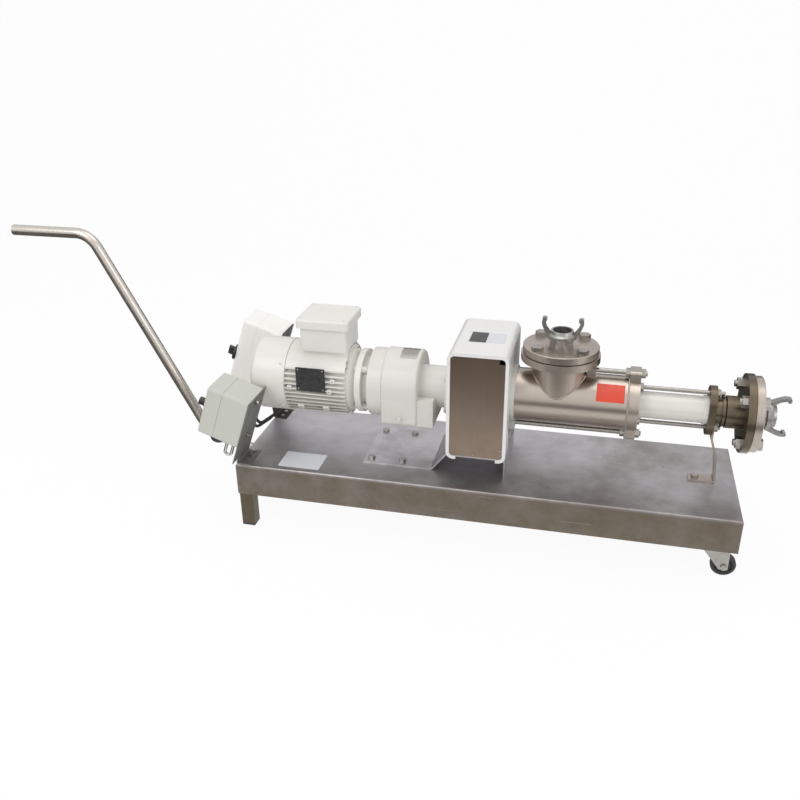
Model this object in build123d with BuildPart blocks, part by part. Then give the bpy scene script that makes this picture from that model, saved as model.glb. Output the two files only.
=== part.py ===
"""Progressive cavity pump with its geared motor, on a stainless lever trolley.

Millimetres. +X runs along the pump from the handle to the discharge, +Y from the near side with the
small control box to the far side, +Z up from the floor.
"""

import os
from math import acos, cos, pi, radians, sin, tan

from build123d import *

os.makedirs("parts", exist_ok=True)

# Trolley
deck_length = 1212.0
deck_width = 350.0
deck_depth = 85.0
deck_sheet = 2.0
deck_bend = 4.0
ground_clearance = 95.0
leg_side = 35.0
leg_wall = 2.0
leg_corner = 3.0
cap_height = 6.0
cap_plug = 14.0

# Casters
wheel_radius = 29.0
wheel_width = 22.0
wheel_bore = 4.05
axle_radius = 4.0
caster_trail = 26.0
caster_inset = 45.0
caster_side = 122.0
caster_height = 100.0
caster_plate_side = 56.0
caster_plate_thickness = 3.0
caster_race_radius = 17.0
caster_race_height = 5.0
kingpin_radius = 5.0
kingpin_head = 3.0
fork_sheet = 2.5
fork_gap = 1.5
swivel_gap = 0.3
pad_thickness = 4.0
caster_bolt_radius = 3.0
caster_bolt_spacing = 42.0

# Handle
grip_reach = 640.0
grip_height = 524.0
handle_tube_radius = 13.5
handle_wall = 2.0
handle_bend = 62.0
handle_knee_reach = 423.0
handle_elbow_reach = 148.0
handle_elbow_drop = 18.0
handle_foot_drop = 57.0
handle_flange_thickness = 6.0
handle_flange_width = 84.0
handle_flange_height = 64.0
handle_bolt_radius = 4.0
handle_bolt_span_y = 62.0
handle_bolt_span_z = 44.0

# Geared motor
shaft_height = 185.0
motor_setback = 20.0
cowl_length = 92.0
cowl_radius = 93.0
cowl_sheet = 2.0
cowl_corner = 14.0
frame_length = 156.0
frame_core_radius = 78.0
frame_fin_radius = 90.0
fin_thickness = 3.0
fin_pitch = 12.0
stator_core_radius = 62.0
air_gap = 0.5
rotor_core_radius = 40.0
motor_shaft_radius = 12.0
motor_tail_radius = 10.0
motor_bearing_radius = 26.0
motor_bearing_width = 15.0
shield_length = 22.0
motor_flange_thickness = 14.0
motor_flange_radius = 80.0
motor_bolt_circle = 69.0
fan_radius = 72.0
fan_hub_radius = 16.0
fan_width = 24.0
fan_back_gap = 28.0
terminal_length = 118.0
terminal_half_width = 56.0
terminal_height = 60.0
terminal_wall = 4.0
terminal_setback = 37.0
lid_overhang = 8.0
lid_height = 23.0

# Gear train
adapter_neck_length = 17.0
adapter_neck_radius = 62.0
adapter_ring_length = 39.0
adapter_ring_radius = 86.0
housing_length = 87.0
housing_radius = 86.0
housing_rise = 4.0
housing_half_width = 85.0
housing_drop = 80.0
housing_wall = 9.0
housing_end_wall = 10.0
hub_length = 66.0
hub_radius = 52.0
foot_block_length = 40.0
foot_block_half_width = 78.0
foot_block_top = -9.0
output_flange_radius = 70.0
output_flange_thickness = 14.0
output_bolt_circle = 60.0
housing_bolt_radius = 4.0
gear_module = 1.5
gear_backlash = 0.12
pressure_angle = radians(20)
motor_pinion_teeth = 16
first_wheel_teeth = 44
second_pinion_teeth = 18
output_wheel_teeth = 42
gear_face = 18.0
gear_gap = 17.0
pinion_extra = 4.0
pinion_shaft_radius = 7.0
intermediate_shaft_radius = 7.5
small_bearing_radius = 14.0
small_bearing_width = 7.0
output_bearing_radius = 27.5
output_bearing_width = 13.0
bearing_clearance = 0.03

# Lantern, guard and supports
lantern_length = 153.0
lantern_flange_radius = 70.0
lantern_flange_thickness = 14.0
lantern_barrel_radius = 52.0
lantern_wall = 9.0
lantern_window_length = 80.0
lantern_window_height = 60.0
pedestal_length = 76.0
pedestal_half_width = 38.0
guard_length = 144.0
guard_half_width = 118.0
guard_low = 50.0
guard_height = 276.0
guard_wall = 8.0
guard_corner = 18.0
guard_lip = 24.0
guard_fit = 0.3
guard_plate_sheet = 1.5
guard_plate_inset = 4.0
guard_plate_notch = 14.0
foot_sheet = 4.0
foot_half_width = 96.0
foot_setback = 312.0
foot_flat_length = 176.0
foot_rise = 45.0
foot_slope = 52.0
foot_shelf_length = 144.0
foot_bolt_start = 18.0
foot_bolt_span = 79.0
foot_bolt_inset = 22.0
foot_bolt_radius = 5.0
strap_sheet = 5.0
strap_half_width = 16.0
strap_foot_length = 60.0

# Pump
drive_shaft_radius = 15.0
casing_length = 261.0
casing_radius = 64.5
casing_wall = 4.5
suction_setback = 98.0
suction_neck_radius = 61.0
suction_face_height = 117.0
pipe_flange_radius = 92.5
pipe_flange_thickness = 17.0
counter_flange_radius = 88.5
counter_flange_thickness = 17.0
gasket_thickness = 1.5
pipe_bore = 35.0
flange_bolt_circle = 72.5
flange_bolt_radius = 8.0
flange_bolt_hole = 9.0
mid_flange_thickness = 25.0
mid_flange_half_width = 64.5
ear_half_width = 21.5
ear_reach = 88.0
casing_rod_offset = 78.0
casing_rod_radius = 6.0
stator_rod_offset = 44.0
stator_rod_radius = 5.0
rod_hole_clearance = 0.25
rod_nut_height = 10.0
stator_length = 156.0
stator_tube_radius = 31.75
stator_tube_wall = 3.0
stator_collar_radius = 34.0
stator_collar_length = 10.0
end_flange_thickness = 16.0
end_flange_half_height = 60.0
end_flange_half_width = 38.0
passage_radius = 26.0
port_length = 60.0
port_radius = 38.0
port_throat_radius = 31.0
port_throat_length = 14.0

# Screw pair: a single-start rotor in a two-start stator of twice its pitch
rotor_radius = 12.0
eccentricity = 4.5
rotor_pitch = 52.0
screw_clearance = 0.3
rotor_overrun = 8.0
ball_radius = 12.5
ball_clearance = 0.1
socket_radius = 19.0
rotor_head_radius = 17.0
connecting_rod_radius = 8.0

# Claw hose couplings
coupling_bore = 22.0
coupling_neck_radius = 27.0
coupling_band_radius = 32.5
coupling_rim_radius = 26.0
coupling_height = 36.0
claw_reach = 48.0
claw_height = 66.0
claw_half_width = 8.0

# Control boxes, brackets and cables
bracket_sheet = 2.5
bracket_bend = 4.0
bracket_setback = 2.0
bracket_foot_length = 35.0
bracket_lean = 19.0
near_bracket_y = -150.0
near_bracket_width = 111.0
near_bracket_height = 197.0
near_bracket_notch = 18.0
near_box_y = -155.0
near_box_width = 100.0
near_box_height = 132.0
near_box_depth = 107.0
near_box_start = 65.0
far_bracket_y = 134.5
far_bracket_width = 80.0
far_bracket_height = 170.0
far_bracket_setout = 10.0
far_bracket_rise = 92.0
far_box_y = 144.5
far_box_width = 100.0
far_box_height = 180.0
far_box_depth = 112.0
far_box_start = -15.0
bracket_bolt_radius = 3.0
bracket_bolt_inset = 22.0
bracket_bolt_y = (104.0, 130.0)
box_corner = 8.0
knob_shaft_radius = 3.0
knob_shaft_clearance = 0.05
knob_gap = 0.4
near_knob_radius = 10.0
near_knob_height = 18.0
near_knob_rise = 142.0
near_knob_y = -184.0
far_knob_radius = 13.0
far_knob_height = 24.0
far_knob_rise = 56.0
far_knob_y = 112.0
inlet_radius = 22.0
inlet_y = -178.0
inlet_stand = 60.0
hook_rod = 4.0
hook_half_width = 8.5
hook_length = 46.0
hook_y = -182.0
hook_stand = 24.0
cable_radius = 4.0
gland_length = 18.0

# Shared seats
bolt_clearance = 0.25

# Heights
deck_top = ground_clearance + deck_depth
deck_underside = deck_top - deck_sheet
axis_z = deck_top + shaft_height

# Stations along the pump, from the deck's handle end to the claws of the discharge coupling
drive_length = (
    motor_setback + cowl_length + frame_length + shield_length + motor_flange_thickness
    + adapter_neck_length + adapter_ring_length + housing_length + hub_length + output_flange_thickness
)
pump_length = lantern_length + casing_length + mid_flange_thickness + stator_length + end_flange_thickness
outlet_length = port_length + pipe_flange_thickness + gasket_thickness + counter_flange_thickness + claw_height
deck_left = -(drive_length + pump_length + outlet_length - grip_reach) / 2
deck_right = deck_left + deck_length
x_cowl = deck_left + motor_setback
x_frame = x_cowl + cowl_length
x_shield = x_frame + frame_length
x_motor_flange = x_shield + shield_length
x_adapter = x_motor_flange + motor_flange_thickness
x_ring = x_adapter + adapter_neck_length
x_housing = x_ring + adapter_ring_length
x_hub = x_housing + housing_length
x_output_flange = x_hub + hub_length
x_lantern = x_output_flange + output_flange_thickness
x_casing = x_lantern + lantern_length
x_mid = x_casing + casing_length
x_stator = x_mid + mid_flange_thickness
x_end = x_stator + stator_length
x_port = x_end + end_flange_thickness
x_discharge_flange = x_port + port_length
x_discharge_face = x_discharge_flange + pipe_flange_thickness
x_counter = x_discharge_face + gasket_thickness
x_coupling = x_counter + counter_flange_thickness
suction_x = x_casing + suction_setback
suction_face = axis_z + suction_face_height
suction_counter = suction_face + gasket_thickness
suction_coupling_face = suction_counter + counter_flange_thickness
swivel_x = deck_right - caster_inset
centre_distance = gear_module * (motor_pinion_teeth + first_wheel_teeth) / 2


def axis_plane(x, z=0.0):
    """Plane across the pump axis, its own axes along Y and Z, facing the discharge."""
    return Plane(origin=(x, 0, axis_z + z), x_dir=(0, 1, 0), z_dir=(1, 0, 0))


def side_plane(y):
    """Upright plane along the pump at a distance y, in X and Z, facing the near side."""
    return Plane(origin=(0, y, 0), x_dir=(1, 0, 0), z_dir=(0, -1, 0))


def lean_plane(knee, y):
    """Front face of a bracket that leans back from its knee, its own Y running up the sheet."""
    front = Vector(-cos(radians(bracket_lean)), 0, sin(radians(bracket_lean)))
    return Plane(origin=Vector(knee[0], y, knee[1]) + front * bracket_sheet / 2, x_dir=(0, -1, 0), z_dir=front)


def shifted(plane, x=0.0, y=0.0, z=0.0):
    """The same plane with its origin moved along its own axes."""
    return Plane(origin=plane.from_local_coords((x, y, z)), x_dir=plane.x_dir, z_dir=plane.z_dir)


def round_bar(plane, radius, length, mode=Mode.ADD):
    """Cylinder standing on a plane."""
    with BuildSketch(plane) as section:
        Circle(radius)
    extrude(section.sketch, amount=length, mode=mode)


def ring_bar(plane, outer_radius, inner_radius, length):
    """Tube standing on a plane."""
    with BuildSketch(plane) as section:
        Circle(outer_radius)
        Circle(inner_radius, mode=Mode.SUBTRACT)
    extrude(section.sketch, amount=length)


def hexagon_bar(plane, across_flats, length):
    """Hexagon standing on a plane, as a bolt's head or a nut."""
    with BuildSketch(plane) as section:
        RegularPolygon(radius=across_flats / 2, side_count=6, major_radius=False)
    extrude(section.sketch, amount=length)


def hexagon_bolt(plane, shank_radius, shank_length):
    """Bolt with its head standing on a plane and its shank running back through it."""
    hexagon_bar(plane, 3.1 * shank_radius, 1.3 * shank_radius)
    round_bar(plane, shank_radius, -shank_length)


def hexagon_nut(plane, shank_radius):
    """Nut standing on a plane, without its bore, which its bolt fills."""
    hexagon_bar(plane, 3.1 * shank_radius, 1.6 * shank_radius)


def turned(plane, profile, mode=Mode.ADD):
    """Body turned about a plane's normal from (height, radius) points."""
    with BuildSketch(Plane(origin=plane.origin, x_dir=plane.z_dir, z_dir=plane.x_dir)) as section:
        with BuildLine():
            Polyline(*profile, close=True)
        make_face()
    revolve(section.sketch, axis=Axis(plane.origin, plane.z_dir), mode=mode)


def bent_sheet(corners, bend, thickness, half_width, y=0.0):
    """Sheet bent along a line of (x, z) corners at its mid-thickness."""
    with BuildSketch(side_plane(y - half_width)) as section:
        with BuildLine():
            FilletPolyline(*corners, radius=bend)
        trace(line_width=thickness)
    extrude(section.sketch, amount=-2 * half_width)


def piped(path_plane, corners, bends, radius, wall=0.0):
    """Round bar or tube along straight runs joined by arcs."""
    with BuildLine(path_plane) as path:
        FilletPolyline(*corners, radius=bends)
    with BuildSketch(Plane(origin=path.line @ 0, z_dir=path.line % 0)) as section:
        Circle(radius)
        if wall:
            Circle(radius - wall, mode=Mode.SUBTRACT)
    sweep(section.sketch, path=path.line)


def write(piece, label):
    """Label a finished piece and write its STEP file."""
    piece.part.label = label
    export_step(piece.part, f"parts/{label}.step")


# Trolley: folded tray with welded caster pads
first_bolt_x = deck_left + foot_setback + foot_bolt_start
foot_bolt_x = (first_bolt_x, first_bolt_x + foot_bolt_span)
foot_bolt_y = foot_half_width - foot_bolt_inset
strap_face_x = x_port + strap_sheet
strap_base_x = strap_face_x + 18
strap_bolt_x = strap_base_x - strap_foot_length + 16
handle_foot_z = deck_top - handle_foot_drop
anchor_points = [(x, y) for x in foot_bolt_x for y in (-foot_bolt_y, foot_bolt_y)] + [(strap_bolt_x, 0)]
bracket_bolts = [
    (deck_left + bracket_setback + bracket_bolt_inset, side * y) for side in (-1, 1) for y in bracket_bolt_y
]
deck_y = deck_width / 2
pad_span_x = deck_right - deck_sheet - (swivel_x - caster_plate_side / 2 - 8)
pad_span_y = deck_y - deck_sheet - (caster_side - caster_plate_side / 2 - 8)

with BuildPart() as deck_tray:
    with BuildSketch(Plane.XY.offset(ground_clearance)):
        with Locations((deck_left + deck_length / 2, 0)):
            Rectangle(deck_length, deck_width)
    extrude(amount=deck_depth)
    fillet(deck_tray.faces().sort_by(Axis.Z)[-1].edges(), radius=deck_bend)
    offset(amount=-deck_sheet, openings=deck_tray.faces().sort_by(Axis.Z)[0])
    with BuildSketch(Plane.XY.offset(caster_height)):
        for side in (-1, 1):
            with Locations((deck_right - deck_sheet - pad_span_x / 2, side * (deck_y - deck_sheet - pad_span_y / 2))):
                Rectangle(pad_span_x, pad_span_y)
    extrude(amount=pad_thickness)
    with BuildSketch(Plane.XY.offset(caster_height)):
        for side in (-1, 1):
            with Locations((swivel_x, side * caster_side)):
                with GridLocations(caster_bolt_spacing, caster_bolt_spacing, 2, 2):
                    Circle(caster_bolt_radius + bolt_clearance)
    extrude(amount=pad_thickness, mode=Mode.SUBTRACT)
    with BuildSketch(Plane.XY.offset(deck_underside)):
        with Locations(*anchor_points):
            Circle(foot_bolt_radius + bolt_clearance)
        with Locations(*bracket_bolts):
            Circle(bracket_bolt_radius + bolt_clearance)
    extrude(amount=deck_sheet, mode=Mode.SUBTRACT)
    with BuildSketch(Plane(origin=(deck_left, 0, handle_foot_z), x_dir=(0, 1, 0), z_dir=(1, 0, 0))):
        with GridLocations(handle_bolt_span_y, handle_bolt_span_z, 2, 2):
            Circle(handle_bolt_radius + bolt_clearance)
    extrude(amount=deck_sheet, mode=Mode.SUBTRACT)
write(deck_tray, "deck_tray")

leg_x = deck_left + deck_sheet + leg_side / 2
leg_y = deck_y - deck_sheet - leg_side / 2
leg_top = deck_top - deck_bend

with BuildPart() as legs:
    with BuildSketch(Plane.XY.offset(cap_height)):
        with Locations((leg_x, -leg_y), (leg_x, leg_y)):
            RectangleRounded(leg_side, leg_side, leg_corner)
            RectangleRounded(leg_side - 2 * leg_wall, leg_side - 2 * leg_wall, leg_corner / 2, mode=Mode.SUBTRACT)
    extrude(amount=leg_top - cap_height)
write(legs, "legs")

with BuildPart() as leg_caps:
    with BuildSketch():
        with Locations((leg_x, -leg_y), (leg_x, leg_y)):
            RectangleRounded(leg_side, leg_side, leg_corner)
    extrude(amount=cap_height)
    fillet(leg_caps.faces().filter_by(Plane.XY).group_by(Axis.Z)[0].edges(), radius=1.5)
    with BuildSketch(Plane.XY.offset(cap_height)):
        with Locations((leg_x, -leg_y), (leg_x, leg_y)):
            RectangleRounded(leg_side - 2 * leg_wall, leg_side - 2 * leg_wall, leg_corner / 2)
    extrude(amount=cap_plug)
write(leg_caps, "leg_caps")

# Casters: the plate carries a race and a kingpin, the fork turns between race and pin head
race_bottom = caster_height - caster_plate_thickness - caster_race_height
fork_top = race_bottom - swivel_gap
fork_web_bottom = fork_top - fork_sheet
pin_head_top = fork_web_bottom - swivel_gap
fork_inner = wheel_width / 2 + fork_gap
fork_outer = fork_inner + fork_sheet
wheel_x = swivel_x + caster_trail

with BuildPart() as caster_plates:
    for side in (-1, 1):
        swivel_plane = Plane(origin=(swivel_x, side * caster_side, caster_height))
        with BuildSketch(swivel_plane):
            RectangleRounded(caster_plate_side, caster_plate_side, 6)
            with GridLocations(caster_bolt_spacing, caster_bolt_spacing, 2, 2):
                Circle(caster_bolt_radius + bolt_clearance, mode=Mode.SUBTRACT)
        extrude(amount=-caster_plate_thickness)
        race_plane = shifted(swivel_plane, z=-caster_plate_thickness)
        round_bar(race_plane, caster_race_radius, -caster_race_height)
        round_bar(race_plane, kingpin_radius, pin_head_top - kingpin_head - race_plane.origin.Z)
        round_bar(shifted(swivel_plane, z=pin_head_top - caster_height), 1.6 * kingpin_radius, -kingpin_head)
write(caster_plates, "caster_plates")

with BuildPart() as caster_bolts:
    for side in (-1, 1):
        for shift_x in (-caster_bolt_spacing / 2, caster_bolt_spacing / 2):
            for shift_y in (-caster_bolt_spacing / 2, caster_bolt_spacing / 2):
                place = (swivel_x + shift_x, side * caster_side + shift_y, caster_height - caster_plate_thickness)
                head_plane = Plane(origin=place, x_dir=(1, 0, 0), z_dir=(0, 0, -1))
                hexagon_bolt(head_plane, caster_bolt_radius, caster_plate_thickness + pad_thickness)
                nut_plane = Plane(origin=(place[0], place[1], caster_height + pad_thickness))
                hexagon_nut(nut_plane, caster_bolt_radius)
write(caster_bolts, "caster_bolts")


def caster_fork(y):
    """Pressed fork: web under the race, two slanted cheeks and a riveted axle."""
    heel = swivel_x - 24
    toe = wheel_x + 10
    with BuildPart() as fork:
        with BuildSketch(side_plane(y - fork_outer)):
            with BuildLine():
                Polyline(
                    (heel, fork_top), (heel, fork_top - 20), (wheel_x - 10, wheel_radius - 8),
                    (toe, wheel_radius - 8), (toe, fork_top), close=True,
                )
            make_face()
        extrude(amount=-2 * fork_outer)
        fillet(fork.edges().filter_by(Axis.X).group_by(Axis.Z)[-1], radius=fork_sheet)
        with BuildSketch(side_plane(y - fork_inner)):
            with Locations(((heel + toe) / 2, fork_web_bottom / 2)):
                Rectangle(2 * (toe - heel), fork_web_bottom)
        extrude(amount=-2 * fork_inner, mode=Mode.SUBTRACT)
        round_bar(Plane(origin=(swivel_x, y, 0)), kingpin_radius + bearing_clearance, fork_top, mode=Mode.SUBTRACT)
        axle_plane = shifted(side_plane(y), x=wheel_x, y=wheel_radius)
        round_bar(shifted(axle_plane, z=fork_outer), axle_radius, -2 * fork_outer)
        hexagon_bar(shifted(axle_plane, z=fork_outer), 13, 5)
        hexagon_bar(shifted(axle_plane, z=-fork_outer), 13, -5)
    return fork


def caster_wheel(y):
    """Solid tyred wheel with a hub that fills the fork."""
    hub_half = fork_inner - swivel_gap
    rim_half = wheel_width / 2
    tyre_edge = wheel_radius - 5
    with BuildPart() as wheel:
        turned(
            shifted(side_plane(y), x=wheel_x, y=wheel_radius),
            [
                (-hub_half, wheel_bore), (-hub_half, 9), (-rim_half + 3, 10), (-rim_half + 3, 18),
                (-rim_half, 20), (-rim_half, tyre_edge), (-rim_half + 5, wheel_radius),
                (rim_half - 5, wheel_radius), (rim_half, tyre_edge), (rim_half, 20),
                (rim_half - 3, 18), (rim_half - 3, 10), (hub_half, 9), (hub_half, wheel_bore),
            ],
        )
    return wheel


for side, side_name in ((-1, "near"), (1, "far")):
    write(caster_fork(side * caster_side), f"{side_name}_caster_fork")
    write(caster_wheel(side * caster_side), f"{side_name}_caster_wheel")

# Handle: one bent tube welded to a flange on the deck's end skirt
flange_face_x = deck_left - handle_flange_thickness

with BuildPart() as handle_tube:
    piped(
        Plane.XZ,
        [
            (deck_left - grip_reach, deck_top + grip_height),
            (deck_left - handle_knee_reach, deck_top + grip_height),
            (deck_left - handle_elbow_reach, deck_top - handle_elbow_drop),
            (deck_left + handle_flange_thickness, handle_foot_z - 2),
        ],
        handle_bend,
        handle_tube_radius,
        handle_wall,
    )
    split(bisect_by=Plane.YZ.offset(flange_face_x), keep=Keep.BOTTOM)
write(handle_tube, "handle_tube")

with BuildPart() as handle_flange:
    with BuildSketch(Plane(origin=(deck_left, 0, handle_foot_z), x_dir=(0, 1, 0), z_dir=(-1, 0, 0))):
        RectangleRounded(handle_flange_width, handle_flange_height, 6)
        with GridLocations(handle_bolt_span_y, handle_bolt_span_z, 2, 2):
            Circle(handle_bolt_radius + bolt_clearance, mode=Mode.SUBTRACT)
    extrude(amount=handle_flange_thickness)
write(handle_flange, "handle_flange")


# Control boxes on leaning brackets
foot_corner = (deck_left + bracket_setback, deck_top + bracket_sheet / 2)
foot_toe = (foot_corner[0] + bracket_foot_length, foot_corner[1])
near_knee = foot_corner
far_knee = (deck_left - far_bracket_setout, deck_top + far_bracket_rise)


def control_bracket(corners, knee, height, y, width):
    """Bent sheet from a foot on the deck to a back plate of a given height above its knee."""
    top = (knee[0] + height * sin(radians(bracket_lean)), knee[1] + height * cos(radians(bracket_lean)))
    with BuildPart() as bracket:
        bent_sheet([*corners, knee, top], bracket_bend, bracket_sheet, width / 2, y)
        with BuildSketch(Plane.XY.offset(deck_top)):
            with Locations(*bracket_bolts):
                Circle(bracket_bolt_radius + bolt_clearance)
        extrude(amount=bracket_sheet, mode=Mode.SUBTRACT)
    return bracket


def control_box(plane, width, height, depth, start, knob_plane):
    """Moulded enclosure on a bracket's front face, with a seam for its lid and a bore for its knob."""
    base = shifted(plane, y=start + height / 2)
    with BuildPart() as box:
        with BuildSketch(base):
            RectangleRounded(width, height, box_corner)
        extrude(amount=depth)
        fillet(box.faces().sort_by(Axis(plane.origin, plane.z_dir))[-1].edges(), radius=box_corner * 0.7)
        with BuildSketch(shifted(base, z=depth * 0.62)):
            RectangleRounded(width, height, box_corner)
            RectangleRounded(width - 2, height - 2, box_corner - 1, mode=Mode.SUBTRACT)
        extrude(amount=1.5, mode=Mode.SUBTRACT)
        round_bar(knob_plane, knob_shaft_radius + knob_shaft_clearance, -15, mode=Mode.SUBTRACT)
    return box


near_plane = lean_plane(near_knee, near_box_y)
far_plane = lean_plane(far_knee, far_box_y)
near_knob_plane = shifted(near_plane, x=near_box_y - near_knob_y, y=near_knob_rise, z=near_box_depth)
far_knob_plane = shifted(far_plane, x=far_box_y - far_knob_y, y=far_knob_rise, z=far_box_depth)
near_sheet = control_bracket([foot_toe], near_knee, near_bracket_height, near_bracket_y, near_bracket_width)
far_bracket = control_bracket(
    [foot_toe, foot_corner], far_knee, far_bracket_height, far_bracket_y, far_bracket_width
)
near_box = control_box(
    near_plane, near_box_width, near_box_height, near_box_depth, near_box_start, near_knob_plane
)
far_box = control_box(far_plane, far_box_width, far_box_height, far_box_depth, far_box_start, far_knob_plane)

# The near bracket overhangs the deck's edge only above a notch beside its foot
with BuildPart() as near_bracket:
    add(near_sheet.part)
    with BuildSketch(Plane.XY.offset(deck_top)):
        with Locations((deck_left, -deck_y + 3)):
            Rectangle(4 * bracket_foot_length, near_bracket_width, align=(Align.CENTER, Align.MAX))
    extrude(amount=near_bracket_notch, mode=Mode.SUBTRACT)
write(near_bracket, "near_bracket")
write(far_bracket, "far_bracket")
write(near_box, "near_control_box")
write(far_box, "far_control_box")

with BuildPart() as near_knob:
    round_bar(shifted(near_knob_plane, z=knob_gap), near_knob_radius + 2, 3)
    round_bar(shifted(near_knob_plane, z=knob_gap + 3), near_knob_radius, near_knob_height - 3 - knob_gap)
    fillet(near_knob.faces().sort_by(Axis(near_plane.origin, near_plane.z_dir))[-1].edges(), radius=2)
    with BuildSketch(shifted(near_knob_plane, y=near_knob_radius - 3, z=near_knob_height)):
        Rectangle(2, 5)
    extrude(amount=-1, mode=Mode.SUBTRACT)
    round_bar(shifted(near_knob_plane, z=knob_gap), knob_shaft_radius, -12)
write(near_knob, "near_control_knob")

with BuildPart() as far_knob:
    round_bar(shifted(far_knob_plane, z=knob_gap), far_knob_radius + 9, 6)
    with BuildSketch(shifted(far_knob_plane, z=knob_gap + 6)):
        RectangleRounded(0.8 * far_knob_radius, 2 * far_knob_radius, 5)
    extrude(amount=far_knob_height - 6)
    round_bar(shifted(far_knob_plane, z=knob_gap), knob_shaft_radius, -12)
write(far_knob, "far_control_knob")

with BuildPart() as near_inlet:
    inlet_base = Plane(
        origin=near_plane.from_local_coords((near_box_y - inlet_y, near_box_start, inlet_stand)),
        x_dir=(0, 1, 0),
        z_dir=-near_plane.y_dir,
    )
    round_bar(inlet_base, inlet_radius, 4)
    round_bar(shifted(inlet_base, z=4), inlet_radius - 4, 12)
    fillet(near_inlet.faces().sort_by(Axis(inlet_base.origin, inlet_base.z_dir))[-1].edges(), radius=7)
write(near_inlet, "near_cable_inlet")

with BuildPart() as near_hook:
    hook_plane = Plane(
        origin=near_plane.from_local_coords((near_box_y - hook_y, near_box_start, hook_stand)),
        x_dir=near_plane.z_dir,
        z_dir=near_plane.x_dir,
    )
    drop = hook_length - hook_rod
    piped(
        hook_plane,
        [(hook_half_width, 0), (hook_half_width, drop), (-hook_half_width, drop), (-hook_half_width, 0)],
        hook_half_width - 0.1,
        hook_rod,
    )
write(near_hook, "near_cable_hook")

# Two control cables hang from glands on the near box's inner side to glands on the far bracket
near_gland_y = near_box_y + near_box_width / 2
post_rise = Vector(far_knee[0] - foot_corner[0], 0, far_knee[1] - foot_corner[1]).normalized()
post_normal = Vector(post_rise.Z, 0, -post_rise.X)
post_plane = Plane(
    origin=Vector(foot_corner[0], 0, foot_corner[1]) + post_normal * bracket_sheet / 2,
    x_dir=(0, 1, 0),
    z_dir=post_normal,
)
gland_pairs = ((78.0, 20.0, 54.0, 106.0), (96.0, 28.0, 70.0, 124.0))
near_glands = []
far_glands = []
for near_rise, near_stand, post_height, post_y in gland_pairs:
    spot = near_plane.from_local_coords((0, near_rise, near_stand))
    near_glands.append(Plane(origin=(spot.X, near_gland_y, spot.Z), x_dir=(1, 0, 0), z_dir=(0, 1, 0)))
    far_glands.append(shifted(post_plane, x=post_y, y=post_height))

with BuildPart() as cable_glands:
    for gland_plane in (*near_glands, *far_glands):
        hexagon_bar(gland_plane, 17, 6)
        round_bar(shifted(gland_plane, z=6), 7, gland_length - 6)
write(cable_glands, "cable_glands")

with BuildPart() as control_cables:
    for near_gland, far_gland, step in zip(near_glands, far_glands, (0, 12)):
        start = near_gland.origin + near_gland.z_dir * gland_length
        end = far_gland.origin + far_gland.z_dir * gland_length
        piped(
            Plane.XY,
            [
                start,
                start + Vector(0, 18, 0),
                Vector(deck_left + 6 + step, -42, deck_top + 38 + step),
                Vector(deck_left + 26 + step, 4, deck_top + 44 + step),
                Vector(deck_left + 44 + step, 60, end.Z),
                end + far_gland.z_dir * (38 + step),
                end,
            ],
            [11, 20, 20, 20, 20],
            cable_radius,
        )
write(control_cables, "control_cables")

# Motor
frame_bore_plane = axis_plane(x_frame)
rear_shield_length = 12.0
x_rear_shield = x_frame - rear_shield_length
front_bearing_x = x_motor_flange - 20
rear_bearing_x = x_frame - motor_bearing_width

with BuildPart() as fan_cowl:
    round_bar(axis_plane(x_cowl), cowl_radius, cowl_length)
    fillet(fan_cowl.faces().sort_by(Axis.X)[0].edges(), radius=cowl_corner)
    offset(amount=-cowl_sheet, openings=fan_cowl.faces().sort_by(Axis.X)[-1])
    with BuildSketch(axis_plane(x_cowl)):
        with PolarLocations(46, 16):
            SlotOverall(50, 6)
    extrude(amount=cowl_sheet, mode=Mode.SUBTRACT)
write(fan_cowl, "fan_cowl")

with BuildPart() as rear_shield:
    inner = cowl_radius - cowl_sheet
    round_bar(axis_plane(x_rear_shield), inner, rear_shield_length)
    round_bar(axis_plane(rear_bearing_x - 5), motor_bearing_radius + 8, motor_bearing_width + 5 - rear_shield_length)
    round_bar(axis_plane(rear_bearing_x), motor_bearing_radius, motor_bearing_width, mode=Mode.SUBTRACT)
    round_bar(axis_plane(rear_bearing_x - 5), motor_tail_radius + 1, 5, mode=Mode.SUBTRACT)
write(rear_shield, "motor_rear_shield")

fin_rows = int(frame_fin_radius / fin_pitch)
with BuildPart() as motor_frame:
    with BuildSketch(frame_bore_plane):
        for row in range(-fin_rows, fin_rows + 1):
            with Locations((0, row * fin_pitch)):
                Rectangle(2 * frame_fin_radius, fin_thickness)
        for row in range(-3, 4):
            with Locations((row * fin_pitch, -frame_fin_radius / 2)):
                Rectangle(fin_thickness, frame_fin_radius)
        Circle(frame_fin_radius, mode=Mode.INTERSECT)
        Circle(frame_core_radius)
        Circle(stator_core_radius, mode=Mode.SUBTRACT)
    extrude(amount=frame_length)
    seat_x = x_frame + terminal_setback
    seat_top = axis_z + frame_fin_radius
    with BuildSketch(Plane.XY.offset(axis_z + frame_core_radius - 12)):
        with Locations((seat_x + terminal_length / 2, 0)):
            RectangleRounded(terminal_length, 2 * terminal_half_width - 16, 8)
    extrude(amount=frame_fin_radius - frame_core_radius + 12)
write(motor_frame, "motor_frame")

winding_gap = 15.0
with BuildPart() as stator_core:
    core_length = frame_length - 2 * winding_gap
    ring_bar(axis_plane(x_frame + winding_gap), stator_core_radius, rotor_core_radius + air_gap, core_length)
    ring_bar(axis_plane(x_frame + 3), stator_core_radius - 4, rotor_core_radius + 4, winding_gap - 3)
    ring_bar(axis_plane(x_shield - winding_gap), stator_core_radius - 4, rotor_core_radius + 4, winding_gap - 3)
write(stator_core, "motor_stator_core")

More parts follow.
